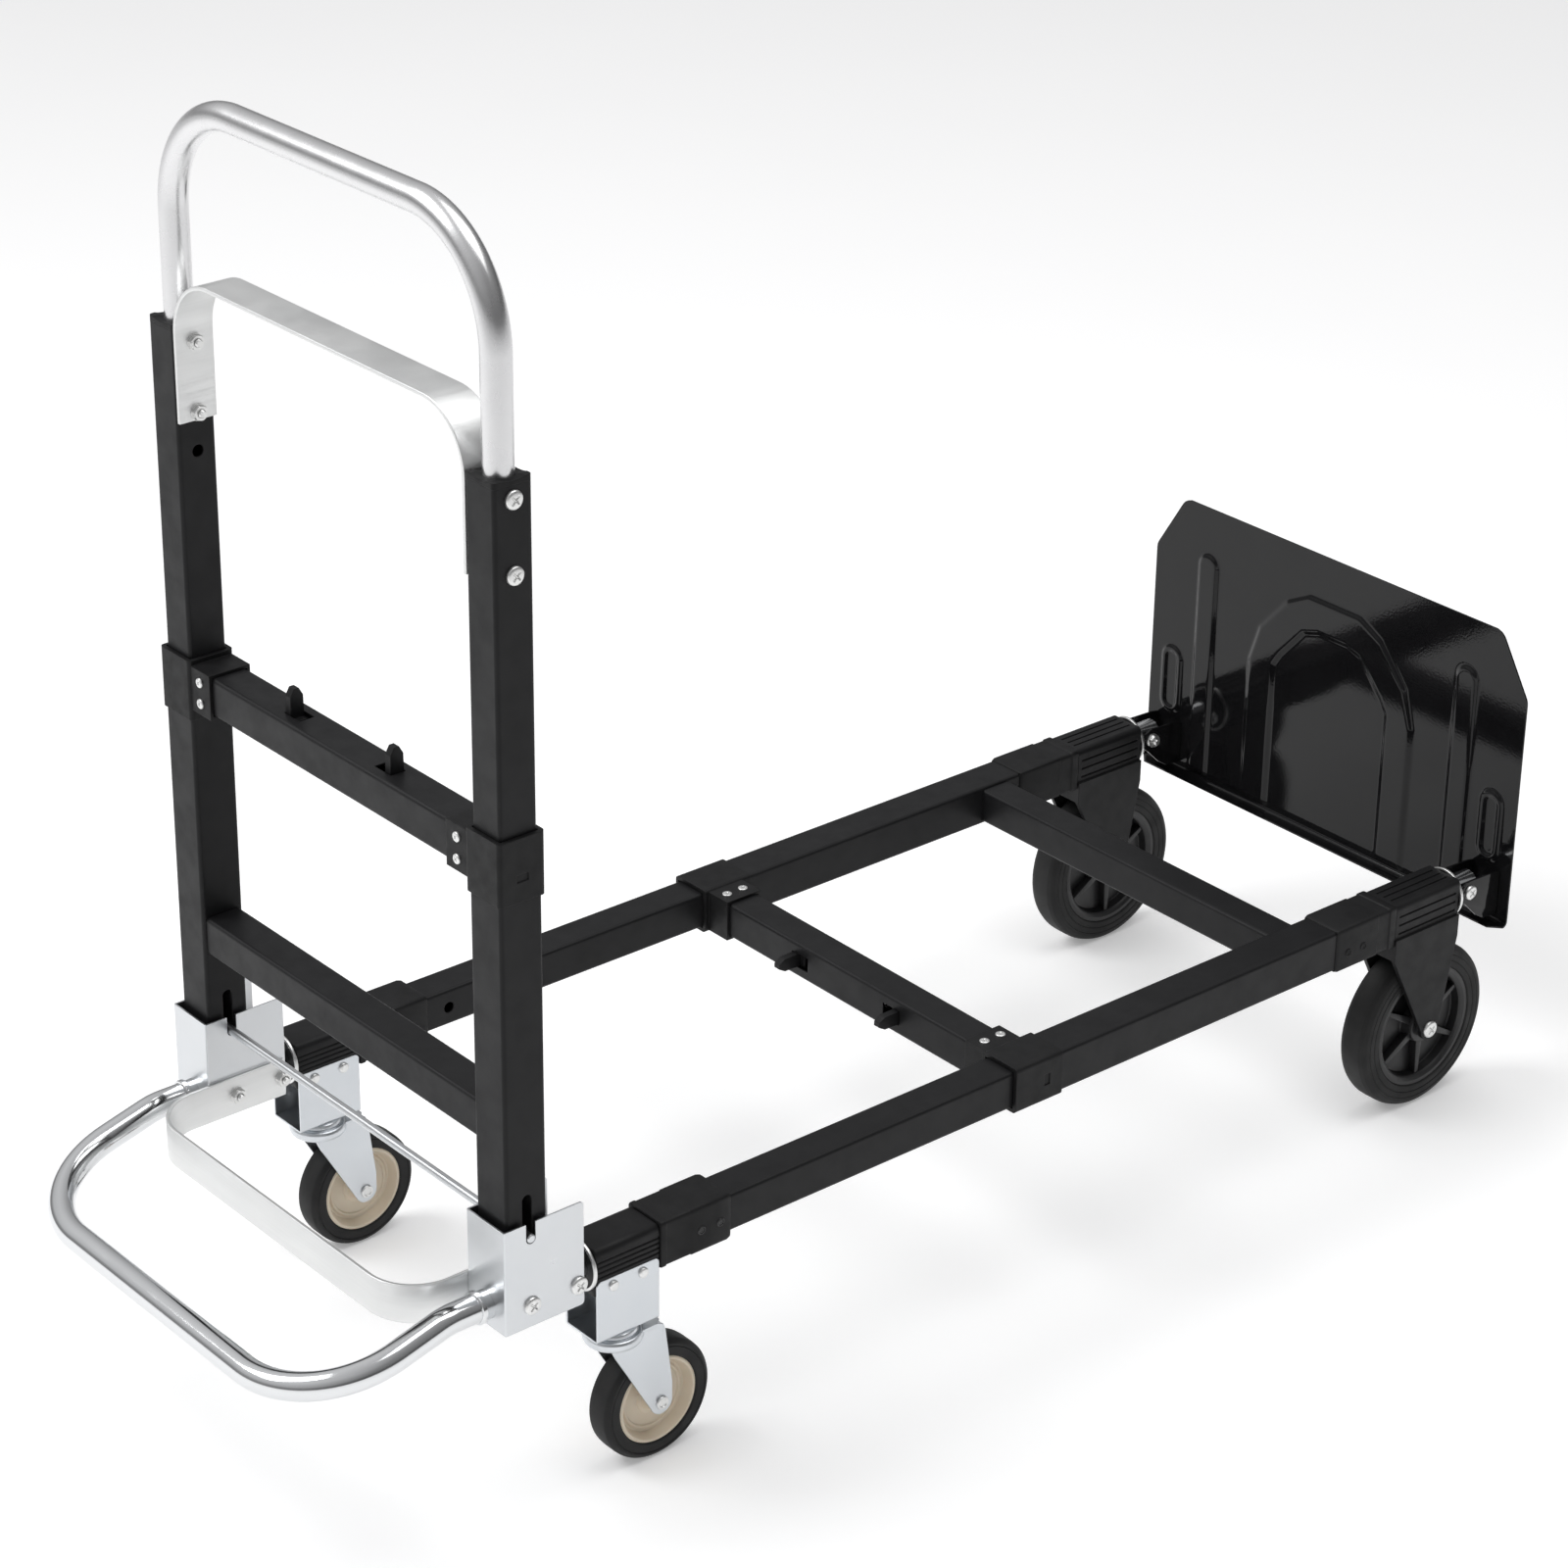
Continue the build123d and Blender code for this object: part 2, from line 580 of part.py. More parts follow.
upper_strip_x = rail_x - inner_half - 0.02
with BuildPart() as upper_strip:
    with BuildSketch(facing(upright_y + strip_width / 2)):
        bent_strip(upper_strip_x, up(strip_leg_up), up(strip_top_up), 46.0)
    extrude(amount=strip_width)
    drill_x(bolt_hole_radius, 20, [(s * upper_strip_x, y, z) for s, y, z in bolt_points])
    chamfer(upper_strip.edges().filter_by(Axis.X).group_by(Axis.Z)[0], 5.0)
save(upper_strip.part, "upper_strip")

cross_bolts(bolt_points, rail_x + inner_half + 0.02, upper_strip_x - strip_thickness - 0.02, "handle_bolts")

# ---- front casters ------------------------------------------------------------------------
sleeve_half = 18.5
channel_half = 18.8
channel_wall = 1.5
channel_up = (-61.7, -9.0)
channel_back = (61.6, 119.0)
rivet_points = [(76.5, -16.0), (104.0, -16.0)]
rivet_radius = 2.5
pin_axis_y = back(caster_pin_back)
caster_axle_y = back(caster_axle[0])
caster_axle_z = up(caster_axle[1])
axle_radius = 4.0


def grooved_sleeve(x, start, end, half):
    """Square sleeve with shallow grooves along it, bored to turn on the round tube."""
    centre_y = back((start + end) / 2)
    with BuildSketch(facing(back(start))) as section:
        with Locations((x, rail_z)):
            RectangleRounded(2 * half, 2 * half, 5.0)
    extrude(section.sketch, amount=start - end)
    for d in (-8.0, 0.0, 8.0):
        with Locations((x + d, centre_y, rail_z + half), (x - half, centre_y, rail_z + d),
                       (x + half, centre_y, rail_z + d)):
            Box(2.0, end - start - 8.0, 2.0, mode=Mode.SUBTRACT)
    with Locations((x, centre_y, rail_z)):
        Cylinder(round_radius + 0.05, end - start + 80, rotation=(90, 0, 0), mode=Mode.SUBTRACT)


for s in sides:
    name = side_names[s]
    x = s * rail_x

    with BuildPart() as caster_sleeve:
        grooved_sleeve(x, *front_sleeve_back, sleeve_half)
        middle = back(sum(front_sleeve_back) / 2)
        with Locations((x + 20.1, middle, up(-14.0)), (x - 20.1, middle, up(-14.0))):
            Box(6.0, 80.0, 10.0, mode=Mode.SUBTRACT)
        with Locations((x, middle, up(-18.5))):
            Box(34.2, front_sleeve_back[1] - front_sleeve_back[0], 7.0)
        drill_x(rivet_radius + 0.05, 60, [(x, back(d), up(h)) for d, h in rivet_points])
    save(caster_sleeve.part, f"caster_sleeve_{name}")

    with BuildPart() as caster_bracket:
        low, high = channel_up
        middle = back(sum(channel_back) / 2)
        length = channel_back[1] - channel_back[0]
        with Locations((x, middle, up((low + high) / 2))):
            Box(2 * channel_half, length, high - low)
        fillet(caster_bracket.edges().filter_by(Axis.Y).group_by(Axis.Z)[0], 2.5)
        with Locations((x, middle, up((low + high) / 2 + channel_wall))):
            Box(2 * (channel_half - channel_wall), length + 2, high - low, mode=Mode.SUBTRACT)
        fillet(caster_bracket.edges().filter_by(Axis.X).group_by(Axis.Z)[-1], 4.0)
        with Locations((x, pin_axis_y, up(low))):
            Cylinder(axle_radius + 0.05, 20, mode=Mode.SUBTRACT)
        drill_x(rivet_radius + 0.05, 60, [(x, back(d), up(h)) for d, h in rivet_points])
    save(caster_bracket.part, f"caster_bracket_{name}")

    with BuildPart() as caster_hardware:
        for d, h in rivet_points:
            for end in sides:
                out = Plane(origin=(x + end * (channel_half + 0.02), back(d), up(h)), x_dir=(0, 1, 0),
                            z_dir=(end, 0, 0))
                with BuildSketch(out):
                    Circle(4.25)
                extrude(amount=2.2, taper=30)
            with Locations((x, back(d), up(h))):
                Cylinder(rivet_radius, 2 * channel_half + 1, rotation=(0, 90, 0))
        low = channel_up[0]
        with BuildSketch(Plane.XY.offset(up(low + channel_wall + 0.02))):
            with Locations((x, pin_axis_y)):
                RegularPolygon(8.0, 6)
        extrude(amount=6.0)
        with Locations((x, pin_axis_y, up(low - 6.0))):
            Cylinder(axle_radius, 24)
        with Locations((x, pin_axis_y, up(low - 17.0))):
            Cylinder(8.0, 3.0)
    save(caster_hardware.part, f"caster_hardware_{name}")

    crown_up = channel_up[0] - 12.6
    leg_inner = 13.2
    with BuildPart() as caster_fork:
        with BuildSketch(Plane.XY.offset(up(crown_up))):
            with Locations((x, pin_axis_y)):
                Circle(20.5)
            with Locations((x, pin_axis_y + 12.0)):
                Rectangle(2 * leg_inner + 5.0, 28.0)
        extrude(amount=2.5)
        for end in sides:
            with BuildSketch(side_plane(x + end * (leg_inner + 1.25) - 1.25)):
                with BuildLine():
                    Polyline((pin_axis_y - 12, up(crown_up + 2.5)), (pin_axis_y + 26, up(crown_up + 2.5)),
                             (caster_axle_y + 10, caster_axle_z + 14), (caster_axle_y + 10, caster_axle_z),
                             (caster_axle_y - 9.5, caster_axle_z - 1), close=True)
                make_face()
                with Locations((caster_axle_y, caster_axle_z)):
                    Circle(10.0)
            extrude(amount=2.5)
        with Locations((x, pin_axis_y, up(crown_up + 2.5 + 2.0))):
            Cylinder(20.5, 4.0)
        with Locations((x, pin_axis_y, up(crown_up + 2.5 + 6.6))):
            Cylinder(17.5, 5.4)
        with Locations((x, pin_axis_y, up(crown_up))):
            Cylinder(axle_radius + 0.05, 60, mode=Mode.SUBTRACT)
        drill_x(axle_radius + 0.05, 60, [(x, caster_axle_y, caster_axle_z)])
    save(caster_fork.part, f"caster_fork_{name}")

    with BuildPart() as caster_axle_bolt:
        with Locations((x, caster_axle_y, caster_axle_z)):
            Cylinder(axle_radius, 2 * leg_inner + 5.0 + 1.0, rotation=(0, 90, 0))
        for end in sides:
            with Locations((x + end * (leg_inner + 2.5 + 1.02), caster_axle_y, caster_axle_z)):
                Cylinder(5.6, 2.0, rotation=(0, 90, 0))
    save(caster_axle_bolt.part, f"caster_axle_{name}")

    rim_radius = 36.0
    with BuildPart() as caster_rim:
        with BuildSketch(Plane(origin=(x, caster_axle_y, caster_axle_z), x_dir=(1, 0, 0), z_dir=(0, -1, 0))):
            with BuildLine():
                Polyline((-11.5, axle_radius + 0.05), (-11.5, 10), (-7, 11.5), (-7, 30), (-11, 32), (-11, rim_radius),
                         (11, rim_radius), (11, 32), (7, 30), (7, 11.5), (11.5, 10), (11.5, axle_radius + 0.05),
                         close=True)
            make_face()
        revolve(axis=Axis((0, caster_axle_y, caster_axle_z), (1, 0, 0)))
    save(caster_rim.part, f"caster_rim_{name}")

    with BuildPart() as caster_tyre:
        with BuildSketch(Plane(origin=(x, caster_axle_y, caster_axle_z), x_dir=(1, 0, 0), z_dir=(0, -1, 0))):
            with BuildLine():
                Polyline((-11, rim_radius + 0.02), (-12, rim_radius + 1), (-12, 44), (-11.2, 44.6), (-11.2, 45.4),
                         (-12, 46), (-11, 48.4), (-8, caster_radius), (8, caster_radius), (11, 48.4), (12, 46),
                         (11.2, 45.4), (11.2, 44.6), (12, 44), (12, rim_radius + 1), (11, rim_radius + 0.02),
                         close=True)
            make_face()
        revolve(axis=Axis((0, caster_axle_y, caster_axle_z), (1, 0, 0)))
    save(caster_tyre.part, f"caster_tyre_{name}")

# ---- rear wheels --------------------------------------------------------------------------
rear_axle_y = back(rear_axle[0])
rear_axle_z = up(rear_axle[1])
fork_inner = 17.0
fork_outer = 21.0
rear_axle_radius = 5.0
hub_radius = 55.0
wheel_half = 15.0

for s in sides:
    name = side_names[s]
    x = s * rail_x
    start, end = rear_sleeve_back

    with BuildPart() as rear_fork:
        grooved_sleeve(x, start, end, 19.0)
        with Locations((x, back((start + end) / 2), up(-23.0))):
            Box(2 * fork_outer, end - start, 20.0)
        fillet(rear_fork.edges().filter_by(Axis.Y).group_by(Axis.Z)[0], 3.0)
        for side in sides:
            with BuildSketch(side_plane(x + side * (fork_inner + fork_outer) / 2 - 2.0)):
                with BuildLine():
                    Polyline((back(start), up(-16)), (back(end), up(-16)), (back(end), up(-33)),
                             (rear_axle_y + 10, rear_axle_z), (rear_axle_y - 10, rear_axle_z), (back(start), up(-33)),
                             close=True)
                make_face()
                with Locations((rear_axle_y, rear_axle_z)):
                    Circle(10.0)
            extrude(amount=4.0)
        drill_x(rear_axle_radius + 0.05, 80, [(x, rear_axle_y, rear_axle_z)])
    save(rear_fork.part, f"rear_fork_{name}")

    with BuildPart() as rear_axle_bolt:
        with Locations((x, rear_axle_y, rear_axle_z)):
            Cylinder(rear_axle_radius, 2 * fork_outer + 2.0, rotation=(0, 90, 0))
        for side in sides:
            out = Plane(origin=(x + side * (fork_outer + 0.02), rear_axle_y, rear_axle_z), x_dir=(0, 1, 0),
                        z_dir=(side, 0, 0))
            with BuildSketch(out):
                if side == s:
                    Circle(8.0)
                else:
                    RegularPolygon(8.0, 6)
            extrude(amount=3.0, taper=25)
    save(rear_axle_bolt.part, f"rear_axle_{name}")

    with BuildPart() as rear_hub:
        with BuildSketch(Plane(origin=(x, rear_axle_y, rear_axle_z), x_dir=(1, 0, 0), z_dir=(0, -1, 0))):
            with BuildLine():
                Polyline((-14, rear_axle_radius + 0.05), (-14, 12), (-12, 13), (-4, 14), (-4, 44), (-12, 46), (-14, 48),
                         (-14, hub_radius), (14, hub_radius), (14, 48), (12, 46), (4, 44), (4, 14), (12, 13), (14, 12),
                         (14, rear_axle_radius + 0.05), close=True)
            make_face()
        revolve(axis=Axis((0, rear_axle_y, rear_axle_z), (1, 0, 0)))
        for side in sides:
            with BuildSketch(side_plane(x + min(side * 3.0, side * 11.0))):
                with Locations((rear_axle_y, rear_axle_z)):
                    with PolarLocations(29.5, 6):
                        Rectangle(34.0, 4.0)
            extrude(amount=8.0)
    save(rear_hub.part, f"rear_hub_{name}")

    with BuildPart() as rear_tyre:
        with BuildSketch(Plane(origin=(x, rear_axle_y, rear_axle_z), x_dir=(1, 0, 0), z_dir=(0, -1, 0))):
            half_outline = [(14, hub_radius + 0.02), (wheel_half, 57), (wheel_half, 63), (14.2, 63.6), (14.2, 64.8),
                            (wheel_half, 65.4), (wheel_half, 69), (13, 73), (9, rear_wheel_radius)]
            with BuildLine():
                Polyline(*half_outline, *[(-a, b) for a, b in reversed(half_outline)], close=True)
            make_face()
        revolve(axis=Axis((0, rear_axle_y, rear_axle_z), (1, 0, 0)))
    save(rear_tyre.part, f"rear_tyre_{name}")

# ---- toe plate ----------------------------------------------------------------------------
plate_half = 218.0
plate_wall = 1.5
plate_up = (-40.0, 225.0)
plate_chamfer = (33.0, 54.0)
rib_height = 2.4
tab_inner = 13.5
tab_wall = 2.0


def long_ribs():
    with Locations((152.5, up(73.0)), (-152.5, up(73.0))):
        SlotOverall(216.0, 24.0, rotation=90)


def short_ribs():
    with Locations((191.0, up(45.5)), (-191.0, up(45.5))):
        RectangleRounded(26.0, 67.0, 12.0)
    with Locations((191.0, up(45.0)), (-191.0, up(45.0))):
        RectangleRounded(12.0, 42.0, 5.5, mode=Mode.SUBTRACT)


def arch_rib():
    outline = [(97, -34), (97, 100), (86, 135), (54, 171), (31, 183)]
    hollow = [(67, -34), (68, 106), (62, 116), (36, 147), (22, 154)]
    with BuildLine() as outer:
        Polyline(*[(a, up(b)) for a, b in outline], *[(-a, up(b)) for a, b in reversed(outline)], close=True)
    make_face(outer.edges())
    with BuildLine() as inner:
        Polyline(*[(a, up(b)) for a, b in hollow], *[(-a, up(b)) for a, b in reversed(hollow)], close=True)
    make_face(inner.edges(), mode=Mode.SUBTRACT)


with BuildPart() as toe_plate:
    low, high = plate_up
    side_in, side_down = plate_chamfer
    with BuildSketch(facing(back(toe_face_back))):
        with BuildLine():
            FilletPolyline((plate_half, up(low)), (plate_half, up(high - side_down)),
                           (plate_half - side_in, up(high)), (side_in - plate_half, up(high)),
                           (-plate_half, up(high - side_down)), (-plate_half, up(low)), radius=14.0)
            Line((-plate_half, up(low)), (plate_half, up(low)))
        make_face()
    extrude(amount=-plate_wall)
    with BuildSketch(Plane.XY.offset(up(low))):
        with BuildLine():
            Polyline((plate_half, back(toe_face_back)), (plate_half - 10, back(toe_face_back - 12.8)),
                     (10 - plate_half, back(toe_face_back - 12.8)), (-plate_half, back(toe_face_back)), close=True)
        make_face()
    extrude(amount=plate_wall)
    for ribs in (long_ribs, short_ribs, arch_rib):
        with BuildSketch(facing(back(toe_face_back))):
            ribs()
        extrude(amount=rib_height, taper=20)
    for ribs in (long_ribs, short_ribs, arch_rib):
        with BuildSketch(facing(back(toe_face_back + plate_wall))) as pressed:
            ribs()
            offset(amount=-2.2, mode=Mode.REPLACE)
        extrude(amount=rib_height, mode=Mode.SUBTRACT)
    for s in sides:
        for end in sides:
            middle = s * rail_x + end * (tab_inner + tab_wall / 2)
            with BuildSketch(side_plane(middle - tab_wall / 2)):
                with BuildLine():
                    Polyline((back(toe_bolt_back), up(8)), (back(toe_face_back), up(8)),
                             (back(toe_face_back), up(-33)), (back(toe_bolt_back + 12), up(-26)),
                             (back(toe_bolt_back), up(-9)), close=True)
                make_face()
                with Locations((back(toe_bolt_back), up(-0.5))):
                    Circle(9.0)
            extrude(amount=tab_wall)
    drill_x(bolt_hole_radius, 60, [(s * rail_x, back(toe_bolt_back), rail_z) for s in sides])
save(toe_plate.part, "toe_plate")

cross_bolts([(s, back(toe_bolt_back), rail_z) for s in sides], rail_x + tab_inner + tab_wall + 0.02,
            rail_x - tab_inner - tab_wall - 0.02, "toe_bolts")
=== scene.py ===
"""Convertible hand truck: materials, detailed pieces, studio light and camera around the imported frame."""

import json
import math

import bmesh
import bpy
import numpy as np
from mathutils import Euler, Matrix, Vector


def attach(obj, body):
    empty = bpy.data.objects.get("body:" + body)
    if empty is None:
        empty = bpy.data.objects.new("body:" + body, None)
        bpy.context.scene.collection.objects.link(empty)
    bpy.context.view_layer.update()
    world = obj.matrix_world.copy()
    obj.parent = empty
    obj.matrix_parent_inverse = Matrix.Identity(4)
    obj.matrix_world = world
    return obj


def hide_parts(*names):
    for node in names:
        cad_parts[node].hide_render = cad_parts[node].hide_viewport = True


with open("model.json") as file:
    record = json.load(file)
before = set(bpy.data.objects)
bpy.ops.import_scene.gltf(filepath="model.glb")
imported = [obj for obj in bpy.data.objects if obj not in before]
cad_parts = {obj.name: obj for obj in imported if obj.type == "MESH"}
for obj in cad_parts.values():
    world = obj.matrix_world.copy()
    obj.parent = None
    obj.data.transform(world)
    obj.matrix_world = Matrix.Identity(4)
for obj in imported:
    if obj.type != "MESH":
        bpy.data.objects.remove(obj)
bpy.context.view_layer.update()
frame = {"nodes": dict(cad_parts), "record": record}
NODES = frame["nodes"]
RECORD = frame["record"]
BODY_OF = {node: body for body, nodes in RECORD["behaviour"]["bodies"].items() for node in nodes}
SLOT_OF = {part["node"]: part["material_slot"] for part in RECORD["subparts"]}
SIDES = (("right", 1), ("left", -1))
MM = 0.001

# The frame's dimensions, in millimetres
RAIL_X = 191.0
RAIL_Z = 190.0
UPRIGHT_Y = -425.25
COLLAR_HALF = 19.8
TUBE_RADIUS = 11.0
BORE_RADIUS = 11.02
SLEEVE_BORE_RADIUS = 11.06
HANDLE_BEND = 84.0

# Heights above the rails' centre line, for up()
HANDLE_FOOT = 548.0
HANDLE_TOP = 800.0
HANDLE_BOLTS = (566.0, 620.0)
STRIP_FOOT = 560.0
STRIP_TOP = 673.5

# Distances behind the uprights' centre line, for back(); an axle's second number is a height for up()
BRACKET_BOLTS = (0.0, 42.0)
CASTER_PIN_BACK = 90.0
CASTER_AXLE = (124.0, -140.0)
END_SCREWS = (158.5, 176.5)
REAR_AXLE = (959.0, -115.0)
TOE_BOLT_BACK = 1003.0
TOE_FACE_BACK = 1040.0


def back(distance):
    return UPRIGHT_Y + distance


def up(height):
    return RAIL_Z + height


# ---- materials ----------------------------------------------------------------------------
class Shader:
    """A node-based surface built up from a Principled BSDF."""

    def __init__(self, name, base, roughness, metallic=0.0):
        self.material = bpy.data.materials.new(name)
        self.material.use_nodes = True
        self.nodes = self.material.node_tree.nodes
        self.links = self.material.node_tree.links
        self.bsdf = self.nodes["Principled BSDF"]
        self.bsdf.inputs["Base Color"].default_value = (*base, 1)
        self.bsdf.inputs["Roughness"].default_value = roughness
        self.bsdf.inputs["Metallic"].default_value = metallic
        self.base = base
        self.coord = self.nodes.new("ShaderNodeTexCoord")
        self.normal = None

    def node(self, kind, **values):
        made = self.nodes.new(kind)
        for key, value in values.items():
            setattr(made, key, value)
        return made

    def noise(self, scale, detail=3.0, stretch=(1, 1, 1), distortion=0.0):
        """Noise in metres on the object's own coordinates; a stretch under 1 draws it out along that axis."""
        mapping = self.node("ShaderNodeMapping")
        mapping.inputs["Scale"].default_value = stretch
        self.links.new(self.coord.outputs["Object"], mapping.inputs["Vector"])
        noise = self.node("ShaderNodeTexNoise")
        noise.inputs["Scale"].default_value = scale
        noise.inputs["Detail"].default_value = detail
        noise.inputs["Distortion"].default_value = distortion
        self.links.new(mapping.outputs["Vector"], noise.inputs["Vector"])
        return noise.outputs["Fac"]

    def ranged(self, value, low, high, from_low=0.3, from_high=0.7):
        mapped = self.node("ShaderNodeMapRange")
        mapped.inputs["From Min"].default_value = from_low
        mapped.inputs["From Max"].default_value = from_high
        mapped.inputs["To Min"].default_value = low
        mapped.inputs["To Max"].default_value = high
        self.links.new(value, mapped.inputs["Value"])
        return mapped.outputs["Result"]

    def roughness(self, value, low, high, **limits):
        self.links.new(self.ranged(value, low, high, **limits), self.bsdf.inputs["Roughness"])

    def tint(self, value, colour, amount, from_low=0.35, from_high=0.75):
        """Blend the base colour towards another where the value is high."""
        mix = self.node("ShaderNodeMix", data_type="RGBA")
        socket = self.bsdf.inputs["Base Color"]
        if socket.is_linked:
            self.links.new(socket.links[0].from_socket, mix.inputs["A"])
        else:
            mix.inputs["A"].default_value = (*self.base, 1)
        mix.inputs["B"].default_value = (*colour, 1)
        self.links.new(self.ranged(value, 0.0, amount, from_low, from_high), mix.inputs["Factor"])
        self.links.new(mix.outputs["Result"], socket)

    def round_edges(self, radius):
        """Soften the sharp edges of the tessellated solids in the shading."""
        bevel = self.node("ShaderNodeBevel", samples=5)
        bevel.inputs["Radius"].default_value = radius
        self.bevel = bevel
        self.normal = bevel.outputs["Normal"]
        self.links.new(self.normal, self.bsdf.inputs["Normal"])

    def edge_wear(self, colour, amount, scale=180.0):
        """Rubbed paint where the rounded edge normal leaves the face normal."""
        geometry = self.node("ShaderNodeNewGeometry")
        dot = self.node("ShaderNodeVectorMath", operation="DOT_PRODUCT")
        self.links.new(self.bevel.outputs["Normal"], dot.inputs[0])
        self.links.new(geometry.outputs["Normal"], dot.inputs[1])
        edge = self.ranged(dot.outputs["Value"], 1.0, 0.0, 0.90, 0.995)
        patch = self.ranged(self.noise(scale, 4.0), 0.0, 1.0, 0.45, 0.68)
        both = self.node("ShaderNodeMath", operation="MULTIPLY")
        self.links.new(edge, both.inputs[0])
        self.links.new(patch, both.inputs[1])
        self.tint(both.outputs["Value"], colour, amount, 0.0, 1.0)

    def bump(self, value, strength, distance):
        bump = self.node("ShaderNodeBump")
        bump.inputs["Strength"].default_value = strength
        bump.inputs["Distance"].default_value = distance
        self.links.new(value, bump.inputs["Height"])
        if self.normal is not None:
            self.links.new(self.normal, bump.inputs["Normal"])
        self.normal = bump.outputs["Normal"]
        self.links.new(self.normal, self.bsdf.inputs["Normal"])


def make_materials():
    made = {}

    s = Shader("tube_black", (0.0085, 0.0085, 0.0092), 0.42)
    s.round_edges(0.0009)
    s.roughness(s.noise(60.0, 4.0), 0.36, 0.50)
    s.tint(s.noise(25.0, 3.0), (0.013, 0.013, 0.014), 0.6)
    s.edge_wear((0.045, 0.045, 0.046), 0.5)
    s.bump(s.noise(2600.0, 2.0), 0.22, 0.0001)
    s.bsdf.inputs["Specular IOR Level"].default_value = 0.2
    made["tube_black"] = s.material

    s = Shader("collar_plastic", (0.0085, 0.0085, 0.009), 0.5)
    s.round_edges(0.0009)
    s.roughness(s.noise(90.0, 3.0), 0.44, 0.58)
    s.tint(s.noise(40.0, 2.0), (0.014, 0.014, 0.0145), 0.7)
    s.edge_wear((0.035, 0.035, 0.036), 0.4, 140.0)
    s.bump(s.noise(3800.0, 2.0), 0.35, 0.00012)
    s.bsdf.inputs["Specular IOR Level"].default_value = 0.2
    made["collar_plastic"] = s.material

    s = Shader("fork_plastic", (0.0085, 0.0085, 0.009), 0.46)
    s.round_edges(0.001)
    s.roughness(s.noise(70.0, 3.0), 0.40, 0.54)
    s.tint(s.noise(30.0, 2.0), (0.014, 0.014, 0.015), 0.7)
    s.bump(s.noise(3200.0, 2.0), 0.3, 0.00012)
    s.bsdf.inputs["Specular IOR Level"].default_value = 0.2
    made["fork_plastic"] = s.material
    made["latch_plastic"] = s.material

    s = Shader("hub_plastic", (0.009, 0.009, 0.0095), 0.4)
    s.roughness(s.noise(60.0, 3.0), 0.34, 0.48)
    s.tint(s.noise(35.0, 2.0), (0.016, 0.016, 0.017), 0.7)
    s.bump(s.noise(3000.0, 2.0), 0.25, 0.0001)
    made["hub_plastic"] = s.material

    s = Shader("tyre_rubber", (0.011, 0.011, 0.0113), 0.62)
    s.roughness(s.noise(45.0, 4.0), 0.54, 0.70)
    s.tint(s.noise(55.0, 5.0), (0.019, 0.0187, 0.0185), 0.6)
    s.bump(s.noise(1500.0, 4.0), 0.3, 0.00015)
    s.bsdf.inputs["Specular IOR Level"].default_value = 0.3
    made["tyre_rubber"] = s.material

    s = Shader("rim_plastic", (0.73, 0.635, 0.50), 0.40)
    s.roughness(s.noise(80.0, 3.0), 0.36, 0.50)
    s.tint(s.noise(60.0, 4.0), (0.66, 0.565, 0.43), 0.5)
    s.bump(s.noise(1800.0, 2.0), 0.12, 0.0001)
    s.bsdf.inputs["Subsurface Weight"].default_value = 0.08
    s.bsdf.inputs["Subsurface Scale"].default_value = 0.002
    made["rim_plastic"] = s.material

    s = Shader("zinc", (0.66, 0.675, 0.69), 0.30, 1.0)
    s.round_edges(0.0006)
    s.roughness(s.noise(35.0, 5.0), 0.27, 0.35)
    s.tint(s.noise(18.0, 4.0, distortion=0.6), (0.60, 0.63, 0.66), 0.3)
    s.bump(s.noise(900.0, 3.0), 0.02, 0.0001)
    made["zinc"] = s.material

    s = Shader("caster_steel", (0.66, 0.685, 0.71), 0.27, 1.0)
    s.round_edges(0.0007)
    s.roughness(s.noise(40.0, 5.0), 0.28, 0.33)
    s.tint(s.noise(28.0, 4.0, distortion=0.8), (0.60, 0.64, 0.68), 0.25)
    s.bump(s.noise(900.0, 3.0), 0.02, 0.0001)
    made["caster_steel"] = s.material

    s = Shader("loop_chrome", (0.72, 0.73, 0.74), 0.11, 1.0)
    s.roughness(s.noise(30.0, 4.0), 0.08, 0.16)
    s.bump(s.noise(260.0, 2.0), 0.006, 0.0001)
    made["loop_chrome"] = s.material

    s = Shader("handle_chrome", (0.73, 0.73, 0.735), 0.24, 1.0)
    s.roughness(s.noise(60.0, 3.0), 0.25, 0.29)
    s.tint(s.noise(40.0, 3.0), (0.68, 0.68, 0.69), 0.4)
    made["handle_chrome"] = s.material

    s = Shader("strip_metal", (0.80, 0.805, 0.80), 0.46, 1.0)
    s.roughness(s.noise(700.0, 3.0, (0.03, 0.03, 1)), 0.40, 0.54)
    s.tint(s.noise(20.0, 3.0), (0.76, 0.77, 0.77), 0.5)
    s.bump(s.noise(1400.0, 3.0, (0.02, 0.02, 1)), 0.08, 0.0001)
    made["strip_metal"] = s.material

    s = Shader("screw_steel", (0.80, 0.80, 0.79), 0.36, 1.0)
    s.roughness(s.noise(300.0, 3.0), 0.30, 0.46)
    s.tint(s.noise(160.0, 3.0), (0.72, 0.73, 0.73), 0.5)
    s.bump(s.noise(1500.0, 2.0), 0.05, 0.0001)
    made["screw_steel"] = s.material
    made["ring_metal"] = s.material
    made["spring_steel"] = s.material

    s = Shader("black_screw", (0.012, 0.012, 0.013), 0.32)
    s.roughness(s.noise(300.0, 3.0), 0.26, 0.42)
    s.bump(s.noise(1500.0, 2.0), 0.1, 0.0001)
    made["black_screw"] = s.material

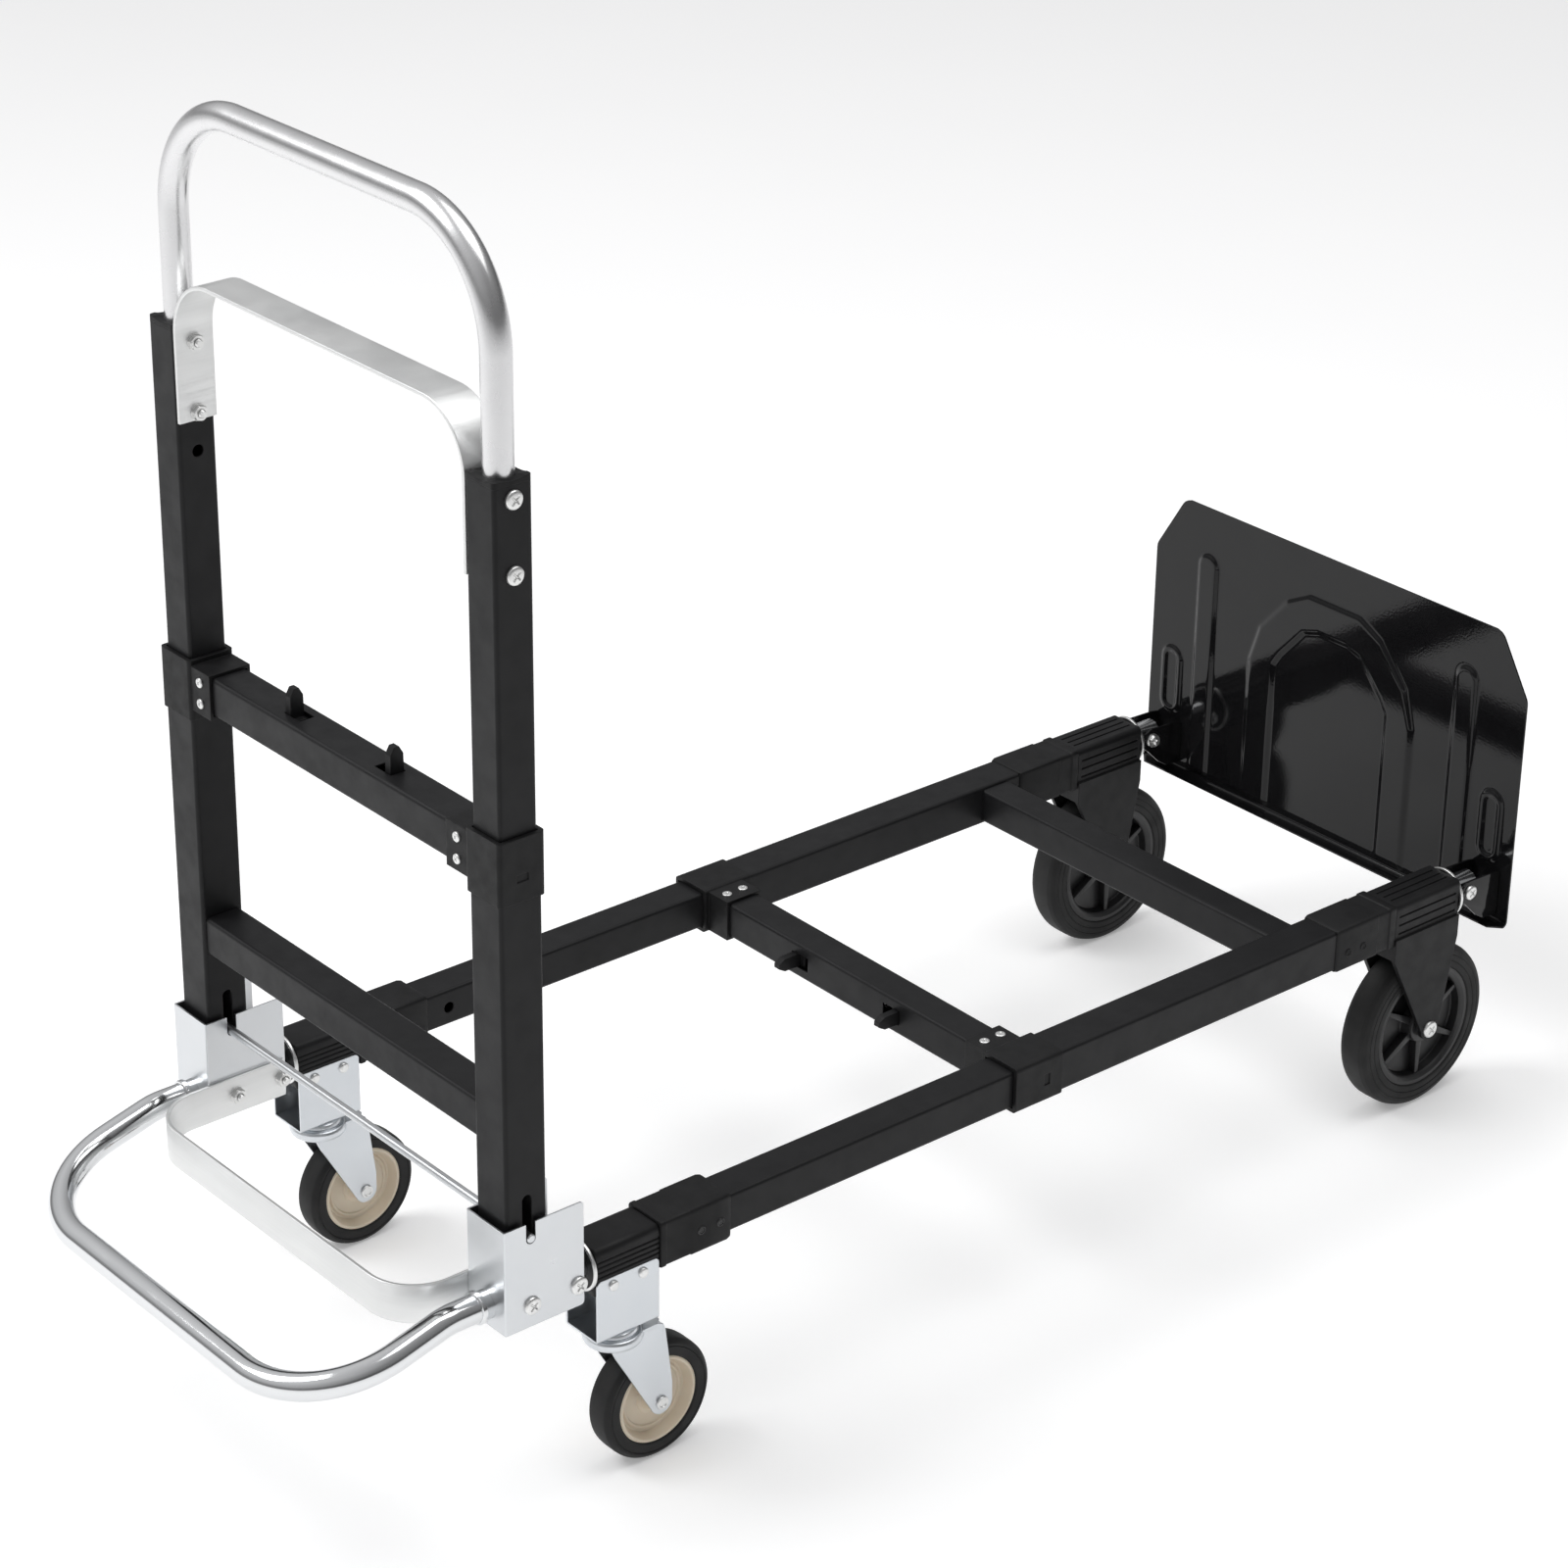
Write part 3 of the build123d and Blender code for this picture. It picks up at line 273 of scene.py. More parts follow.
    s = Shader("toe_gloss", (0.0055, 0.0055, 0.006), 0.05)
    s.roughness(s.noise(50.0, 4.0), 0.035, 0.075)
    s.tint(s.noise(20.0, 3.0), (0.009, 0.009, 0.0095), 0.6)
    s.bump(s.noise(480.0, 3.0), 0.085, 0.0004)
    s.bsdf.inputs["Specular IOR Level"].default_value = 0.30
    made["toe_gloss"] = s.material
    return made


MATERIALS = make_materials()
for node_name, node in NODES.items():
    if node.type == "MESH":
        for slot in node.material_slots:
            slot.material = MATERIALS[SLOT_OF[node_name]]


# ---- mesh helpers -------------------------------------------------------------------------
def piece(name, vertices, faces, slot, body, replaced=(), smooth_angle=35.0, bevel=0.0, segments=3):
    """New mesh piece from millimetre coordinates that rides on a body and may replace frame nodes."""
    mesh = bpy.data.meshes.new(name)
    mesh.from_pydata([tuple(c * MM for c in v) for v in vertices], [], faces)
    bm = bmesh.new()
    bm.from_mesh(mesh)
    bmesh.ops.remove_doubles(bm, verts=bm.verts, dist=1e-6)
    bmesh.ops.recalc_face_normals(bm, faces=bm.faces)
    bm.to_mesh(mesh)
    bm.free()
    obj = bpy.data.objects.new(name, mesh)
    bpy.context.collection.objects.link(obj)
    mesh.materials.append(MATERIALS[slot])
    if bevel:
        modifier = obj.modifiers.new("edges", "BEVEL")
        modifier.width = bevel * MM
        modifier.segments = segments
        modifier.limit_method = "ANGLE"
        modifier.angle_limit = math.radians(28)
        apply_modifiers(obj)
    for polygon in obj.data.polygons:
        polygon.use_smooth = True
    obj.data.set_sharp_from_angle(angle=math.radians(smooth_angle))
    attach(obj, body)
    if replaced:
        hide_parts(*replaced)
    return obj


def apply_modifiers(obj):
    graph = bpy.context.evaluated_depsgraph_get()
    made = bpy.data.meshes.new_from_object(obj.evaluated_get(graph))
    old = obj.data
    obj.modifiers.clear()
    obj.data = made
    bpy.data.meshes.remove(old)


def merge(*parts):
    """Join (vertices, faces) pairs into one."""
    vertices, faces = [], []
    for part_vertices, part_faces in parts:
        start = len(vertices)
        vertices += [tuple(v) for v in part_vertices]
        faces += [tuple(i + start for i in face) for face in part_faces]
    return vertices, faces


def sweep(section, path, closed=False):
    """Carry a closed section of (across, second) points along a path of (point, across axis, second axis)."""
    count = len(section)
    vertices = []
    for point, across, second in path:
        for a, b in section:
            vertices.append(tuple(Vector(point) + Vector(across) * a + Vector(second) * b))
    faces = []
    rows = len(path)
    for i in range(rows if closed else rows - 1):
        j = (i + 1) % rows
        for k in range(count):
            n = (k + 1) % count
            faces.append((i * count + k, i * count + n, j * count + n, j * count + k))
    if not closed:
        faces.append(tuple(range(count)))
        faces.append(tuple((rows - 1) * count + k for k in range(count)))
    return vertices, faces


def circle(radius, sides):
    return [(radius * math.cos(2 * math.pi * k / sides), radius * math.sin(2 * math.pi * k / sides))
            for k in range(sides)]


def rounded_path(points, radii, steps=20):
    """Points along straight runs joined by tangent arcs, with evenly placed points on each arc."""
    corners = [Vector(p) for p in points]
    line = [corners[0]]
    for k in range(1, len(corners) - 1):
        before = (corners[k - 1] - corners[k]).normalized()
        after = (corners[k + 1] - corners[k]).normalized()
        turn = math.pi - before.angle(after)
        reach = radii[k - 1] * math.tan(turn / 2)
        middle = corners[k] + (before + after).normalized() * (radii[k - 1] / math.cos(turn / 2))
        start = corners[k] + before * reach - middle
        end = corners[k] + after * reach - middle
        for i in range(steps + 1):
            t = i / steps
            weight_a = math.sin((1 - t) * turn) / math.sin(turn)
            weight_b = math.sin(t * turn) / math.sin(turn)
            line.append(middle + start * weight_a + end * weight_b)
    line.append(corners[-1])
    return line


def with_axes(line, reference):
    """Path stations: each point with its two cross axes, the first as near as possible to the reference."""
    stations = []
    for k, point in enumerate(line):
        before = line[max(k - 1, 0)]
        after = line[min(k + 1, len(line) - 1)]
        along = (after - before).normalized()
        across = Vector(reference) - along * along.dot(Vector(reference))
        across.normalize()
        stations.append((point, across, along.cross(across)))
    return stations


def lathe(profile, centre, axis="X", segments=128, closed=True):
    """Turn a profile of (along, radius) points about an axis through the centre."""
    count = len(profile)
    vertices = []
    for i in range(segments):
        angle = 2 * math.pi * i / segments
        c, s = math.cos(angle), math.sin(angle)
        for along, radius in profile:
            local = {"X": (along, radius * c, radius * s), "Y": (radius * c, along, radius * s),
                     "Z": (radius * c, radius * s, along)}[axis]
            vertices.append(tuple(Vector(centre) + Vector(local)))
    faces = []
    for i in range(segments):
        j = (i + 1) % segments
        for k in range(count if closed else count - 1):
            n = (k + 1) % count
            faces.append((i * count + k, i * count + n, j * count + n, j * count + k))
    return vertices, faces


def rounded_profile(points, radii, steps=4):
    """Closed outline with its corners rounded by the radii (0 keeps a corner)."""
    out = []
    total = len(points)
    for k in range(total):
        here = Vector((*points[k], 0))
        radius = radii[k] if isinstance(radii, (list, tuple)) else radii
        before = Vector((*points[k - 1], 0)) - here
        after = Vector((*points[(k + 1) % total], 0)) - here
        if radius <= 0 or before.length < 1e-6 or after.length < 1e-6:
            out.append(points[k])
            continue
        turn = math.pi - before.angle(after)
        reach = min(radius * math.tan(turn / 2), before.length * 0.49, after.length * 0.49)
        start = here + before.normalized() * reach
        end = here + after.normalized() * reach
        for i in range(steps + 1):
            t = i / steps
            p = start * (1 - t) ** 2 + here * 2 * t * (1 - t) + end * t ** 2
            out.append((p.x, p.y))
    return out


def both_sides(half):
    """A profile's half followed by its mirror image, from the other end back."""
    return half + [(-a, radius) for a, radius in reversed(half)]


def mirrored_radii(radii):
    return radii + radii[::-1]


def divided(outline, step=1.5):
    """The same closed outline with points added so that no edge is longer than the step."""
    out = []
    for k, (a, b) in enumerate(outline):
        c, d = outline[(k + 1) % len(outline)]
        parts = max(1, math.ceil(math.hypot(c - a, d - b) / step))
        out += [(a + (c - a) * i / parts, b + (d - b) * i / parts) for i in range(parts)]
    return out


def plate(outline, thickness, to_world):
    """Flat plate: an outline of (a, b) points, thick along the third axis; to_world maps (a, b, c)."""
    count = len(outline)
    vertices = [to_world(a, b, 0.0) for a, b in outline] + [to_world(a, b, thickness) for a, b in outline]
    faces = [tuple(range(count)), tuple(range(2 * count - 1, count - 1, -1))]
    faces += [(k, (k + 1) % count, count + (k + 1) % count, count + k) for k in range(count)]
    return vertices, faces


# ---- fasteners ----------------------------------------------------------------------------
def pan_head(centre, direction, radius, height, recess=True, rings=24, spokes=96):
    """Flat-domed screw head with a fine cross recess, seated at the centre and pointing outwards."""
    out = Vector(direction).normalized()
    across = out.orthogonal().normalized()
    second = out.cross(across)
    arm, width = 0.40 * radius, 0.075 * radius
    vertices = []
    for i in range(rings + 1):
        r = radius * i / rings
        for k in range(spokes):
            angle = 2 * math.pi * k / spokes
            a, b = r * math.cos(angle), r * math.sin(angle)
            level = height * (0.35 + 0.65 * max(0.0, 1 - (r / radius) ** 4.5) ** 0.5)
            if recess:
                near = min(max(abs(a) / arm, abs(b) / width), max(abs(b) / arm, abs(a) / width))
                level -= height * 0.5 * max(0.0, min(1.0, (1.5 - near) / 0.7))
            vertices.append(tuple(Vector(centre) + across * a + second * b + out * level))
    faces = []
    for i in range(rings):
        for k in range(spokes):
            n = (k + 1) % spokes
            faces.append((i * spokes + k, i * spokes + n, (i + 1) * spokes + n, (i + 1) * spokes + k))
    base = len(vertices)
    for k in range(spokes):
        angle = 2 * math.pi * k / spokes
        sideways = Vector(centre) + across * radius * math.cos(angle)
        vertices.append(tuple(sideways + second * radius * math.sin(angle)))
    for k in range(spokes):
        n = (k + 1) % spokes
        faces.append((rings * spokes + k, rings * spokes + n, base + n, base + k))
    return vertices, faces


def along_axis(profile, centre, direction, segments=48):
    """Turn a profile of (along, radius) points about any direction."""
    out = Vector(direction).normalized()
    across = out.orthogonal().normalized()
    second = out.cross(across)
    count = len(profile)
    vertices = []
    for i in range(segments):
        angle = 2 * math.pi * i / segments
        for along, radius in profile:
            vertices.append(tuple(Vector(centre) + out * along + across * radius * math.cos(angle)
                                  + second * radius * math.sin(angle)))
    faces = []
    for i in range(segments):
        j = (i + 1) % segments
        for k in range(count - 1):
            faces.append((i * count + k, i * count + k + 1, j * count + k + 1, j * count + k))
    return vertices, faces


def hex_nut(centre, direction, across_corners, height, shank):
    """Chamfered hex nut with the threaded end of its bolt standing out of it."""
    out = Vector(direction).normalized()
    across = out.orthogonal().normalized()
    second = out.cross(across)
    r = across_corners / 2
    levels = [(0.0, 1.0), (height * 0.86, 1.0), (height, 0.9), (height, 0.56)]
    sides = 24
    vertices = []
    for level, shrink in levels:
        for k in range(sides):
            angle = 2 * math.pi * k / sides
            sector = (angle % (math.pi / 3)) - math.pi / 6
            hexagon = r * math.cos(math.pi / 6) / math.cos(sector)
            radius = hexagon if shrink == 1.0 else min(hexagon, r * shrink)
            vertices.append(tuple(Vector(centre) + out * level + across * radius * math.cos(angle)
                                  + second * radius * math.sin(angle)))
    faces = []
    for i in range(len(levels) - 1):
        for k in range(sides):
            n = (k + 1) % sides
            faces.append((i * sides + k, i * sides + n, (i + 1) * sides + n, (i + 1) * sides + k))
    thread = [(height * 0.9, shank)]
    for turn in range(3):
        thread += [(height + 0.4 + turn * 0.8, shank * 1.0), (height + 0.8 + turn * 0.8, shank * 0.86)]
    thread += [(height + 2.9, shank * 0.8), (height + 2.9, 0.01)]
    return merge((vertices, faces), along_axis(thread, centre, direction, 32))


def bolt_set(name, points, head_x, nut_x, node, radius):
    """Pan-head bolts through both sides: heads outside, washers and nuts inside."""
    parts = []
    washer = [(0, 3.02), (0, 6.5), (0.9, 6.5), (0.9, 3.02)]
    for side, y, z in points:
        parts.append(pan_head((side * head_x, y, z), (side, 0, 0), radius, 3.1))
        parts.append(along_axis(washer, (side * nut_x, y, z), (-side, 0, 0)))
        parts.append(hex_nut((side * (nut_x - 0.8), y, z), (-side, 0, 0), 12.2, 3.8, 3.0))
    piece(name, *merge(*parts), "screw_steel", BODY_OF[node], [node], smooth_angle=40)


bolt_set("bracket_bolts_detail", [(s, back(d), RAIL_Z) for s in (1, -1) for d in BRACKET_BOLTS],
         213.32, 165.66, "bracket_bolts", 7.2)
bolt_set("handle_bolts_detail", [(s, UPRIGHT_Y, up(h)) for s in (1, -1) for h in HANDLE_BOLTS],
         207.02, 171.94, "handle_bolts", 7.0)
bolt_set("toe_bolts_detail", [(s, back(TOE_BOLT_BACK), RAIL_Z) for s in (1, -1)],
         206.52, 175.48, "toe_bolts", 6.6)

piece("base_latch_rivets_detail",
      *merge(*[pan_head((s * 159.0, back(496.0 + d), up(18.0)), (0, 0, 1), 4.2, 1.35) for s in (1, -1)
               for d in (-8.5, 8.5)]), "screw_steel", "chassis", ["base_latch_rivets"], smooth_angle=40)
piece("upright_latch_screws_detail",
      *merge(*[pan_head((s * 160.0, UPRIGHT_Y - 18.02, up(351.8 + d)), (0, -1, 0), 3.9, 1.75) for s in (1, -1)
               for d in (-8.5, 8.5)]), "screw_steel", "upright", ["upright_latch_screws"], smooth_angle=40)


# ---- collars and rings --------------------------------------------------------------------
def collar(name, stations, bore, slot, body, replaced):
    """Pair of square collars on the rails: the outside follows (distance back, inset) stations."""
    parts = []
    for side in (1, -1):
        x = side * RAIL_X
        corners = [(a * COLLAR_HALF, b * COLLAR_HALF) for a, b in ((1, 1), (-1, 1), (-1, -1), (1, -1))]
        outline = divided(rounded_profile(corners, 3.4, 6))
        rows = []
        for distance, inset in stations:
            share = 1 - inset / COLLAR_HALF
            rows.append([(x + a * share, back(distance), up(b * share)) for a, b in outline])
        count = len(rows[0])
        for distance, size, round_bore in bore:
            ring = []
            for a, b in outline:
                angle = math.atan2(b, a)
                reach = size if round_bore else size / max(abs(math.cos(angle)), abs(math.sin(angle)))
                ring.append((x + reach * math.cos(angle), back(distance), up(reach * math.sin(angle))))
            rows.append(ring)
        total = len(rows)
        faces = [(i * count + k, i * count + (k + 1) % count, (i + 1) % total * count + (k + 1) % count,
                  (i + 1) % total * count + k) for i in range(total) for k in range(count)]
        parts.append(([v for row in rows for v in row], faces))
    piece(name, *merge(*parts), slot, body, replaced, smooth_angle=35)


def socketed_screws(name, points, slot, body, replaced=()):
    """Dark screws sunk in rimmed holes on the outer side of a collar."""
    rim = rounded_profile([(-0.3, 2.3), (-0.3, 3.6), (0.2, 3.6), (0.75, 3.1), (0.75, 2.5), (0.1, 2.3)],
                          [0, 0, 0.2, 0.2, 0.2, 0], 3)
    rims = [along_axis(rim + rim[:1], point, (math.copysign(1, point[0]), 0, 0)) for point in points]
    heads = [pan_head(point, (math.copysign(1, point[0]), 0, 0), 2.2, 0.5) for point in points]
    piece(name, *merge(*rims, *heads), slot, body, replaced, smooth_angle=40)


collar("end_collars_detail",
       [(120.3, 1.2), (120.9, 0.3), (121.8, 0.0), (125.2, 0.0), (125.9, 0.55), (149.0, 0.55), (149.8, 0.05),
        (183.2, 0.05), (186.6, 0.9), (187.2, 1.6)],
       [(187.2, 16.02, False), (123.4, 16.02, False), (123.3, BORE_RADIUS, True), (120.3, BORE_RADIUS, True)],
       "collar_plastic", "front_frame", ["end_collars"])
socketed_screws("end_collar_screws_detail",
                [(s * 210.72, back(d), up(-1)) for s in (1, -1) for d in END_SCREWS],
                "black_screw", "front_frame", ["end_collar_screws"])
collar("rear_collars_detail",
       [(835.0, 1.6), (835.6, 0.9), (838.4, 0.1), (884.0, 0.1), (884.7, 0.75), (898.0, 0.75),
        (898.7, 0.0), (905.4, 0.0), (906.1, 0.3), (906.5, 1.0)],
       [(906.5, BORE_RADIUS, True), (903.5, BORE_RADIUS, True), (903.4, 18.01, False), (835.0, 18.01, False)],
       "collar_plastic", "chassis", ["rear_collars"])
socketed_screws("rear_collar_screws", [(s * 210.7, back(d), up(-4)) for s in (1, -1) for d in (849.0, 867.0)],
                "collar_plastic", "chassis")

for name, radius, distance in (("front", 20.9, 58.05), ("rear", 21.7, 985.15)):
    node = f"{name}_rings"
    centres = [(s * RAIL_X, back(distance), RAIL_Z) for s in (1, -1)]
    band = rounded_profile([(0, radius - 2.2), (0, radius), (2.6, radius), (2.6, radius - 2.2)], 0.7, 4)
    disc = [(0.8, 11.05), (0.8, radius - 2.1), (1.8, radius - 2.1), (1.8, 11.05)]
    piece(f"{name}_rings_detail", *merge(*[lathe(band, centre, "Y", 96) for centre in centres]), "ring_metal",
          BODY_OF[node], [node], smooth_angle=40)
    piece(f"{name}_ring_seats", *merge(*[lathe(disc, centre, "Y", 96) for centre in centres]), "fork_plastic",
          BODY_OF[node], smooth_angle=40)


# ---- round tubes --------------------------------------------------------------------------
def tube(line, reference, radius=TUBE_RADIUS, wall=1.2, sides=56):
    """Hollow round tube along a line."""
    stations = with_axes(line, reference)
    outer = sweep(circle(radius, sides), stations)
    inner = sweep(circle(radius - wall, sides), stations)
    shell = (outer[0], outer[1][:-2])
    bore = (inner[0], inner[1][:-2])
    rows = len(stations)
    rims = []
    offset = rows * sides
    for row in (0, rows - 1):
        for k in range(sides):
            n = (k + 1) % sides
            here, following = row * sides + k, row * sides + n
            rims.append((here, following, offset + following, offset + here))
    vertices, faces = merge(shell, bore)
    return vertices, faces + rims


def hoop(x, foot, top, bend, steps):
    """Line of an upside-down U that stands on the uprights' centre line."""
    return rounded_path([(x, UPRIGHT_Y, up(foot)), (x, UPRIGHT_Y, up(top)), (-x, UPRIGHT_Y, up(top)),
                         (-x, UPRIGHT_Y, up(foot))], [bend, bend], steps)


handle_line = hoop(RAIL_X, HANDLE_FOOT, HANDLE_TOP, HANDLE_BEND, 30)
piece("push_handle_detail", *tube(handle_line, (0, 1, 0)), "handle_chrome", "handle", ["push_handle"])

# The front loop's legs run forward, bend down by the slope and meet in a straight front bar
slope = math.radians(15.0)
leg_root = 183.0
bend_start = -52.0
bend_radius = 60.0
loop_front = -180.0
bend_end = bend_start - bend_radius * math.sin(slope)
run = (bend_end - loop_front) / math.cos(slope)
front_z = -bend_radius * (1 - math.cos(slope)) - run * math.sin(slope)
knee = bend_start - bend_radius * math.tan(slope / 2)
loop_line = rounded_path([(RAIL_X, back(leg_root), RAIL_Z), (RAIL_X, back(knee), RAIL_Z),
                          (RAIL_X, back(loop_front), up(front_z)), (-RAIL_X, back(loop_front), up(front_z)),
                          (-RAIL_X, back(knee), RAIL_Z), (-RAIL_X, back(leg_root), RAIL_Z)],
                         [bend_radius, 80, 80, bend_radius], 26)
bead = rounded_profile([(-2.6, 10.9), (-2.0, 12.9), (2.0, 12.9), (2.6, 10.9)], [0, 1.2, 1.2, 0], 5)
piece("front_loop_detail",
      *merge(tube(loop_line, (0, 0, 1)), *[lathe(bead, (s * RAIL_X, back(-33), RAIL_Z), "Y", 64, False)
                                           for s in (1, -1)]), "loop_chrome", "front_frame", ["front_loop"])


# ---- flat bars ----------------------------------------------------------------------------
def flat_bar(line, reference):
    section = rounded_profile([(-16, -1.5), (16, -1.5), (16, 1.5), (-16, 1.5)], 0.7, 3)
    return sweep(section, with_axes(line, reference))


upper_line = hoop(173.48, STRIP_FOOT, STRIP_TOP, 44.5, 24)
piece("upper_strip_detail", *flat_bar(upper_line, (0, 1, 0)), "strip_metal", "handle", ["upper_strip"])

lower_x = 167.18
lower_line = rounded_path([(lower_x, back(44.5), RAIL_Z), (lower_x, back(-80.5), RAIL_Z),
                           (-lower_x, back(-80.5), RAIL_Z), (-lower_x, back(44.5), RAIL_Z)], [40.5, 40.5], 24)
piece("lower_strip_detail", *flat_bar(lower_line, (0, 0, 1)), "strip_metal", "front_frame", ["lower_strip"])


# ---- casters ------------------------------------------------------------------------------
def caster_pieces(side_name, s):
    x = s * RAIL_X
    axle = (x, back(CASTER_AXLE[0]), up(CASTER_AXLE[1]))
    pin = (x, back(CASTER_PIN_BACK), RAIL_Z)

    tyre_profile = rounded_profile(
        both_sides([(-11, 36.02), (-12, 37.5), (-12, 43.6), (-11.3, 44.2), (-12, 44.9), (-11.9, 46.5),
                    (-9, 49.6), (-5, 50)]), mirrored_radii([0, 0.8, 0.5, 0.3, 0.5, 2.0, 3.0, 0]), 4)
    piece(f"caster_tyre_{side_name}_detail", *lathe(tyre_profile, axle, "X", 160), "tyre_rubber",
          f"caster_wheel_{side_name}", [f"caster_tyre_{side_name}"], smooth_angle=50)
    half = [(11.6, 4.05), (11.6, 9.2), (8.0, 10.0), (4.8, 11.6), (4.2, 14.0), (3.2, 14.6), (2.8, 24.6),
            (4.2, 25.4), (4.2, 27.2), (3.0, 28.2), (3.2, 30.0), (9.4, 32.4), (11.5, 33.2),
            (11.8, 34.4), (10.8, 36.0)]
    rim_radii = [0, 0.8, 1.0, 0.8, 0.4, 0.4, 0.4, 0.5, 0.5, 0.5, 1.0, 0.8, 0.6, 0.6, 0]
    rim_profile = rounded_profile(both_sides(half), mirrored_radii(rim_radii), 3)
    piece(f"caster_rim_{side_name}_detail", *lathe(rim_profile, axle, "X", 128), "rim_plastic",
          f"caster_wheel_{side_name}", [f"caster_rim_{side_name}"], smooth_angle=40)

    raceway = [(-77.4, 4.06), (-77.4, 19.0), (-76.0, 21.8), (-73.4, 23.0), (-70.2, 23.0), (-68.2, 22.2),
               (-67.6, 20.8), (-68.4, 19.6), (-68.2, 18.8), (-66.0, 19.4), (-63.6, 18.6), (-62.3, 16.6),
               (-62.2, 13.0), (-62.2, 4.06)]
    radii = [0, 1.2, 1.4, 1.2, 1.0, 0.6, 0.4, 0.3, 0.3, 1.0, 1.0, 0.8, 0, 0]
    crown = lathe(rounded_profile(raceway, radii, 4), pin, "Z", 112)
    legs = []
    for end in (1, -1):
        arc = [(34 + 10 * math.cos(a), -140 + 10 * math.sin(a))
               for a in np.linspace(-0.05, -math.pi + 0.35, 14)]
        outline = [(-12, -77.0), (-12.5, -73.0), (4, -69.4), (30, -68.6), (35.6, -71.0), (37.6, -76.0),
                   (44.2, -126)] + arc + [(-7.0, -88.0)]
        outline = rounded_profile(outline, 1.5, 3)
        legs.append(plate(outline, 2.4,
                          lambda a, b, c, end=end: (x + end * (13.25 + c), pin[1] + a, RAIL_Z + b)))
    top_outline = rounded_profile([(-15.6, 2), (-15.6, 30), (-11, 35.4), (11, 35.4), (15.6, 30), (15.6, 2)],
                                  1.5, 3)
    crown_top = plate(top_outline, 2.5, lambda a, b, c: (x + a, pin[1] + b, RAIL_Z - 71.4 + c))
    skirt_outline = rounded_profile([(-15.6, -71.0), (-15.6, -78.0), (-13.0, -84.0), (13.0, -84.0),
                                     (15.6, -78.0), (15.6, -71.0)], 1.0, 3)
    skirt = plate(skirt_outline, 2.4, lambda a, b, c: (x + a, pin[1] + 35.2 - c, RAIL_Z + b))
    piece(f"caster_fork_{side_name}_detail", *merge(crown, *legs, crown_top, skirt), "caster_steel",
          f"caster_swivel_{side_name}", [f"caster_fork_{side_name}"], smooth_angle=32, bevel=0.5)
    domes = [pan_head((x + end * 18.82, back(d), up(-16)), (end, 0, 0), 4.3, 2.3, recess=False)
             for end in (1, -1) for d in (76.5, 104.0)]
    king_nut = hex_nut((x, pin[1], up(-60.1)), (0, 0, 1), 15.0, 6.0, 3.9)
    king_head = along_axis([(0, 0.01), (0, 7.6), (-2.4, 7.6), (-3.0, 6.8), (-3.0, 0.01)],
                           (x, pin[1], up(-77.8)), (0, 0, 1))
    piece(f"caster_hardware_{side_name}_detail", *merge(*domes, king_nut, king_head), "screw_steel",
          f"caster_mount_{side_name}", [f"caster_hardware_{side_name}"], smooth_angle=40)
    head = rounded_profile([(0, 0.01), (0, 5.6), (1.9, 5.2), (2.1, 3.6), (1.1, 3.0), (1.0, 0.01)],
                           [0, 0.4, 0.6, 0.5, 0.3, 0], 3)
    heads = [along_axis(head, (x + end * 15.75, axle[1], axle[2]), (end, 0, 0)) for end in (1, -1)]
    shaft = along_axis([(-15.7, 4.0), (15.7, 4.0)], axle, (1, 0, 0))
    piece(f"caster_axle_{side_name}_detail", *merge(shaft, *heads), "screw_steel",
          f"caster_swivel_{side_name}", [f"caster_axle_{side_name}"], smooth_angle=40)


def grooved_side(half, top, bottom, levels):
    """Down the right side of a sleeve's section, with a shallow groove at each level."""
    points = [(half, top)]
    groove_half = half - 0.95
    for level in levels:
        points += [(half, level + 1.0), (groove_half, level + 0.45), (groove_half, level - 0.45),
                   (half, level - 1.0)]
    return points + [(half, bottom)]


def sleeve(name, x, start, end, right_side, low, body, replaced):
    """Moulded sleeve along the round tube: grooved flanks, rounded shoulders and softened ends."""
    half = right_side[0][0]
    shoulder = [(half - 5.5 + 5.5 * math.cos(a), right_side[0][1] + 5.5 * math.sin(a))
                for a in np.linspace(math.pi / 2, 0, 8)]
    right = shoulder[:-1] + right_side + low
    outline = divided(right + [(-a, b) for a, b in reversed(right)])
    stations = [(start, 0.9), (start + 0.35, 0.35), (start + 1.1, 0.0), (end - 1.1, 0.0), (end - 0.35, 0.35),
                (end, 0.9)]
    vertices, faces = [], []
    count = len(outline)
    for y, inset in stations:
        for a, b in outline:
            vertices.append((x + a * (1 - inset / half), back(y), up(b * (1 - inset / half))))
    for i in range(len(stations) - 1):
        for k in range(count):
            n = (k + 1) % count
            faces.append((i * count + k, i * count + n, (i + 1) * count + n, (i + 1) * count + k))
    for end_row, y in ((0, start), (len(stations) - 1, end)):
        ring = len(vertices)
        for k in range(count):
            a, b = outline[k]
            angle = math.atan2(b, a)
            vertices.append((x + SLEEVE_BORE_RADIUS * math.cos(angle), back(y),
                             up(SLEEVE_BORE_RADIUS * math.sin(angle))))
        for k in range(count):
            n = (k + 1) % count
            faces.append((end_row * count + k, end_row * count + n, ring + n, ring + k))
    piece(name, vertices, faces, "fork_plastic", body, replaced, smooth_angle=38)


for side_name, s in SIDES:
    caster_pieces(side_name, s)
    sleeve(f"caster_sleeve_{side_name}_detail", s * RAIL_X, 61.0, 120.0,
           grooved_side(18.5, 12.5, -9.0, (7.5, 3.2, -1.1, -5.4)),
           [(17.1, -9.6), (17.1, -21.0), (15.6, -22.0)],
           f"caster_mount_{side_name}", [f"caster_sleeve_{side_name}"])


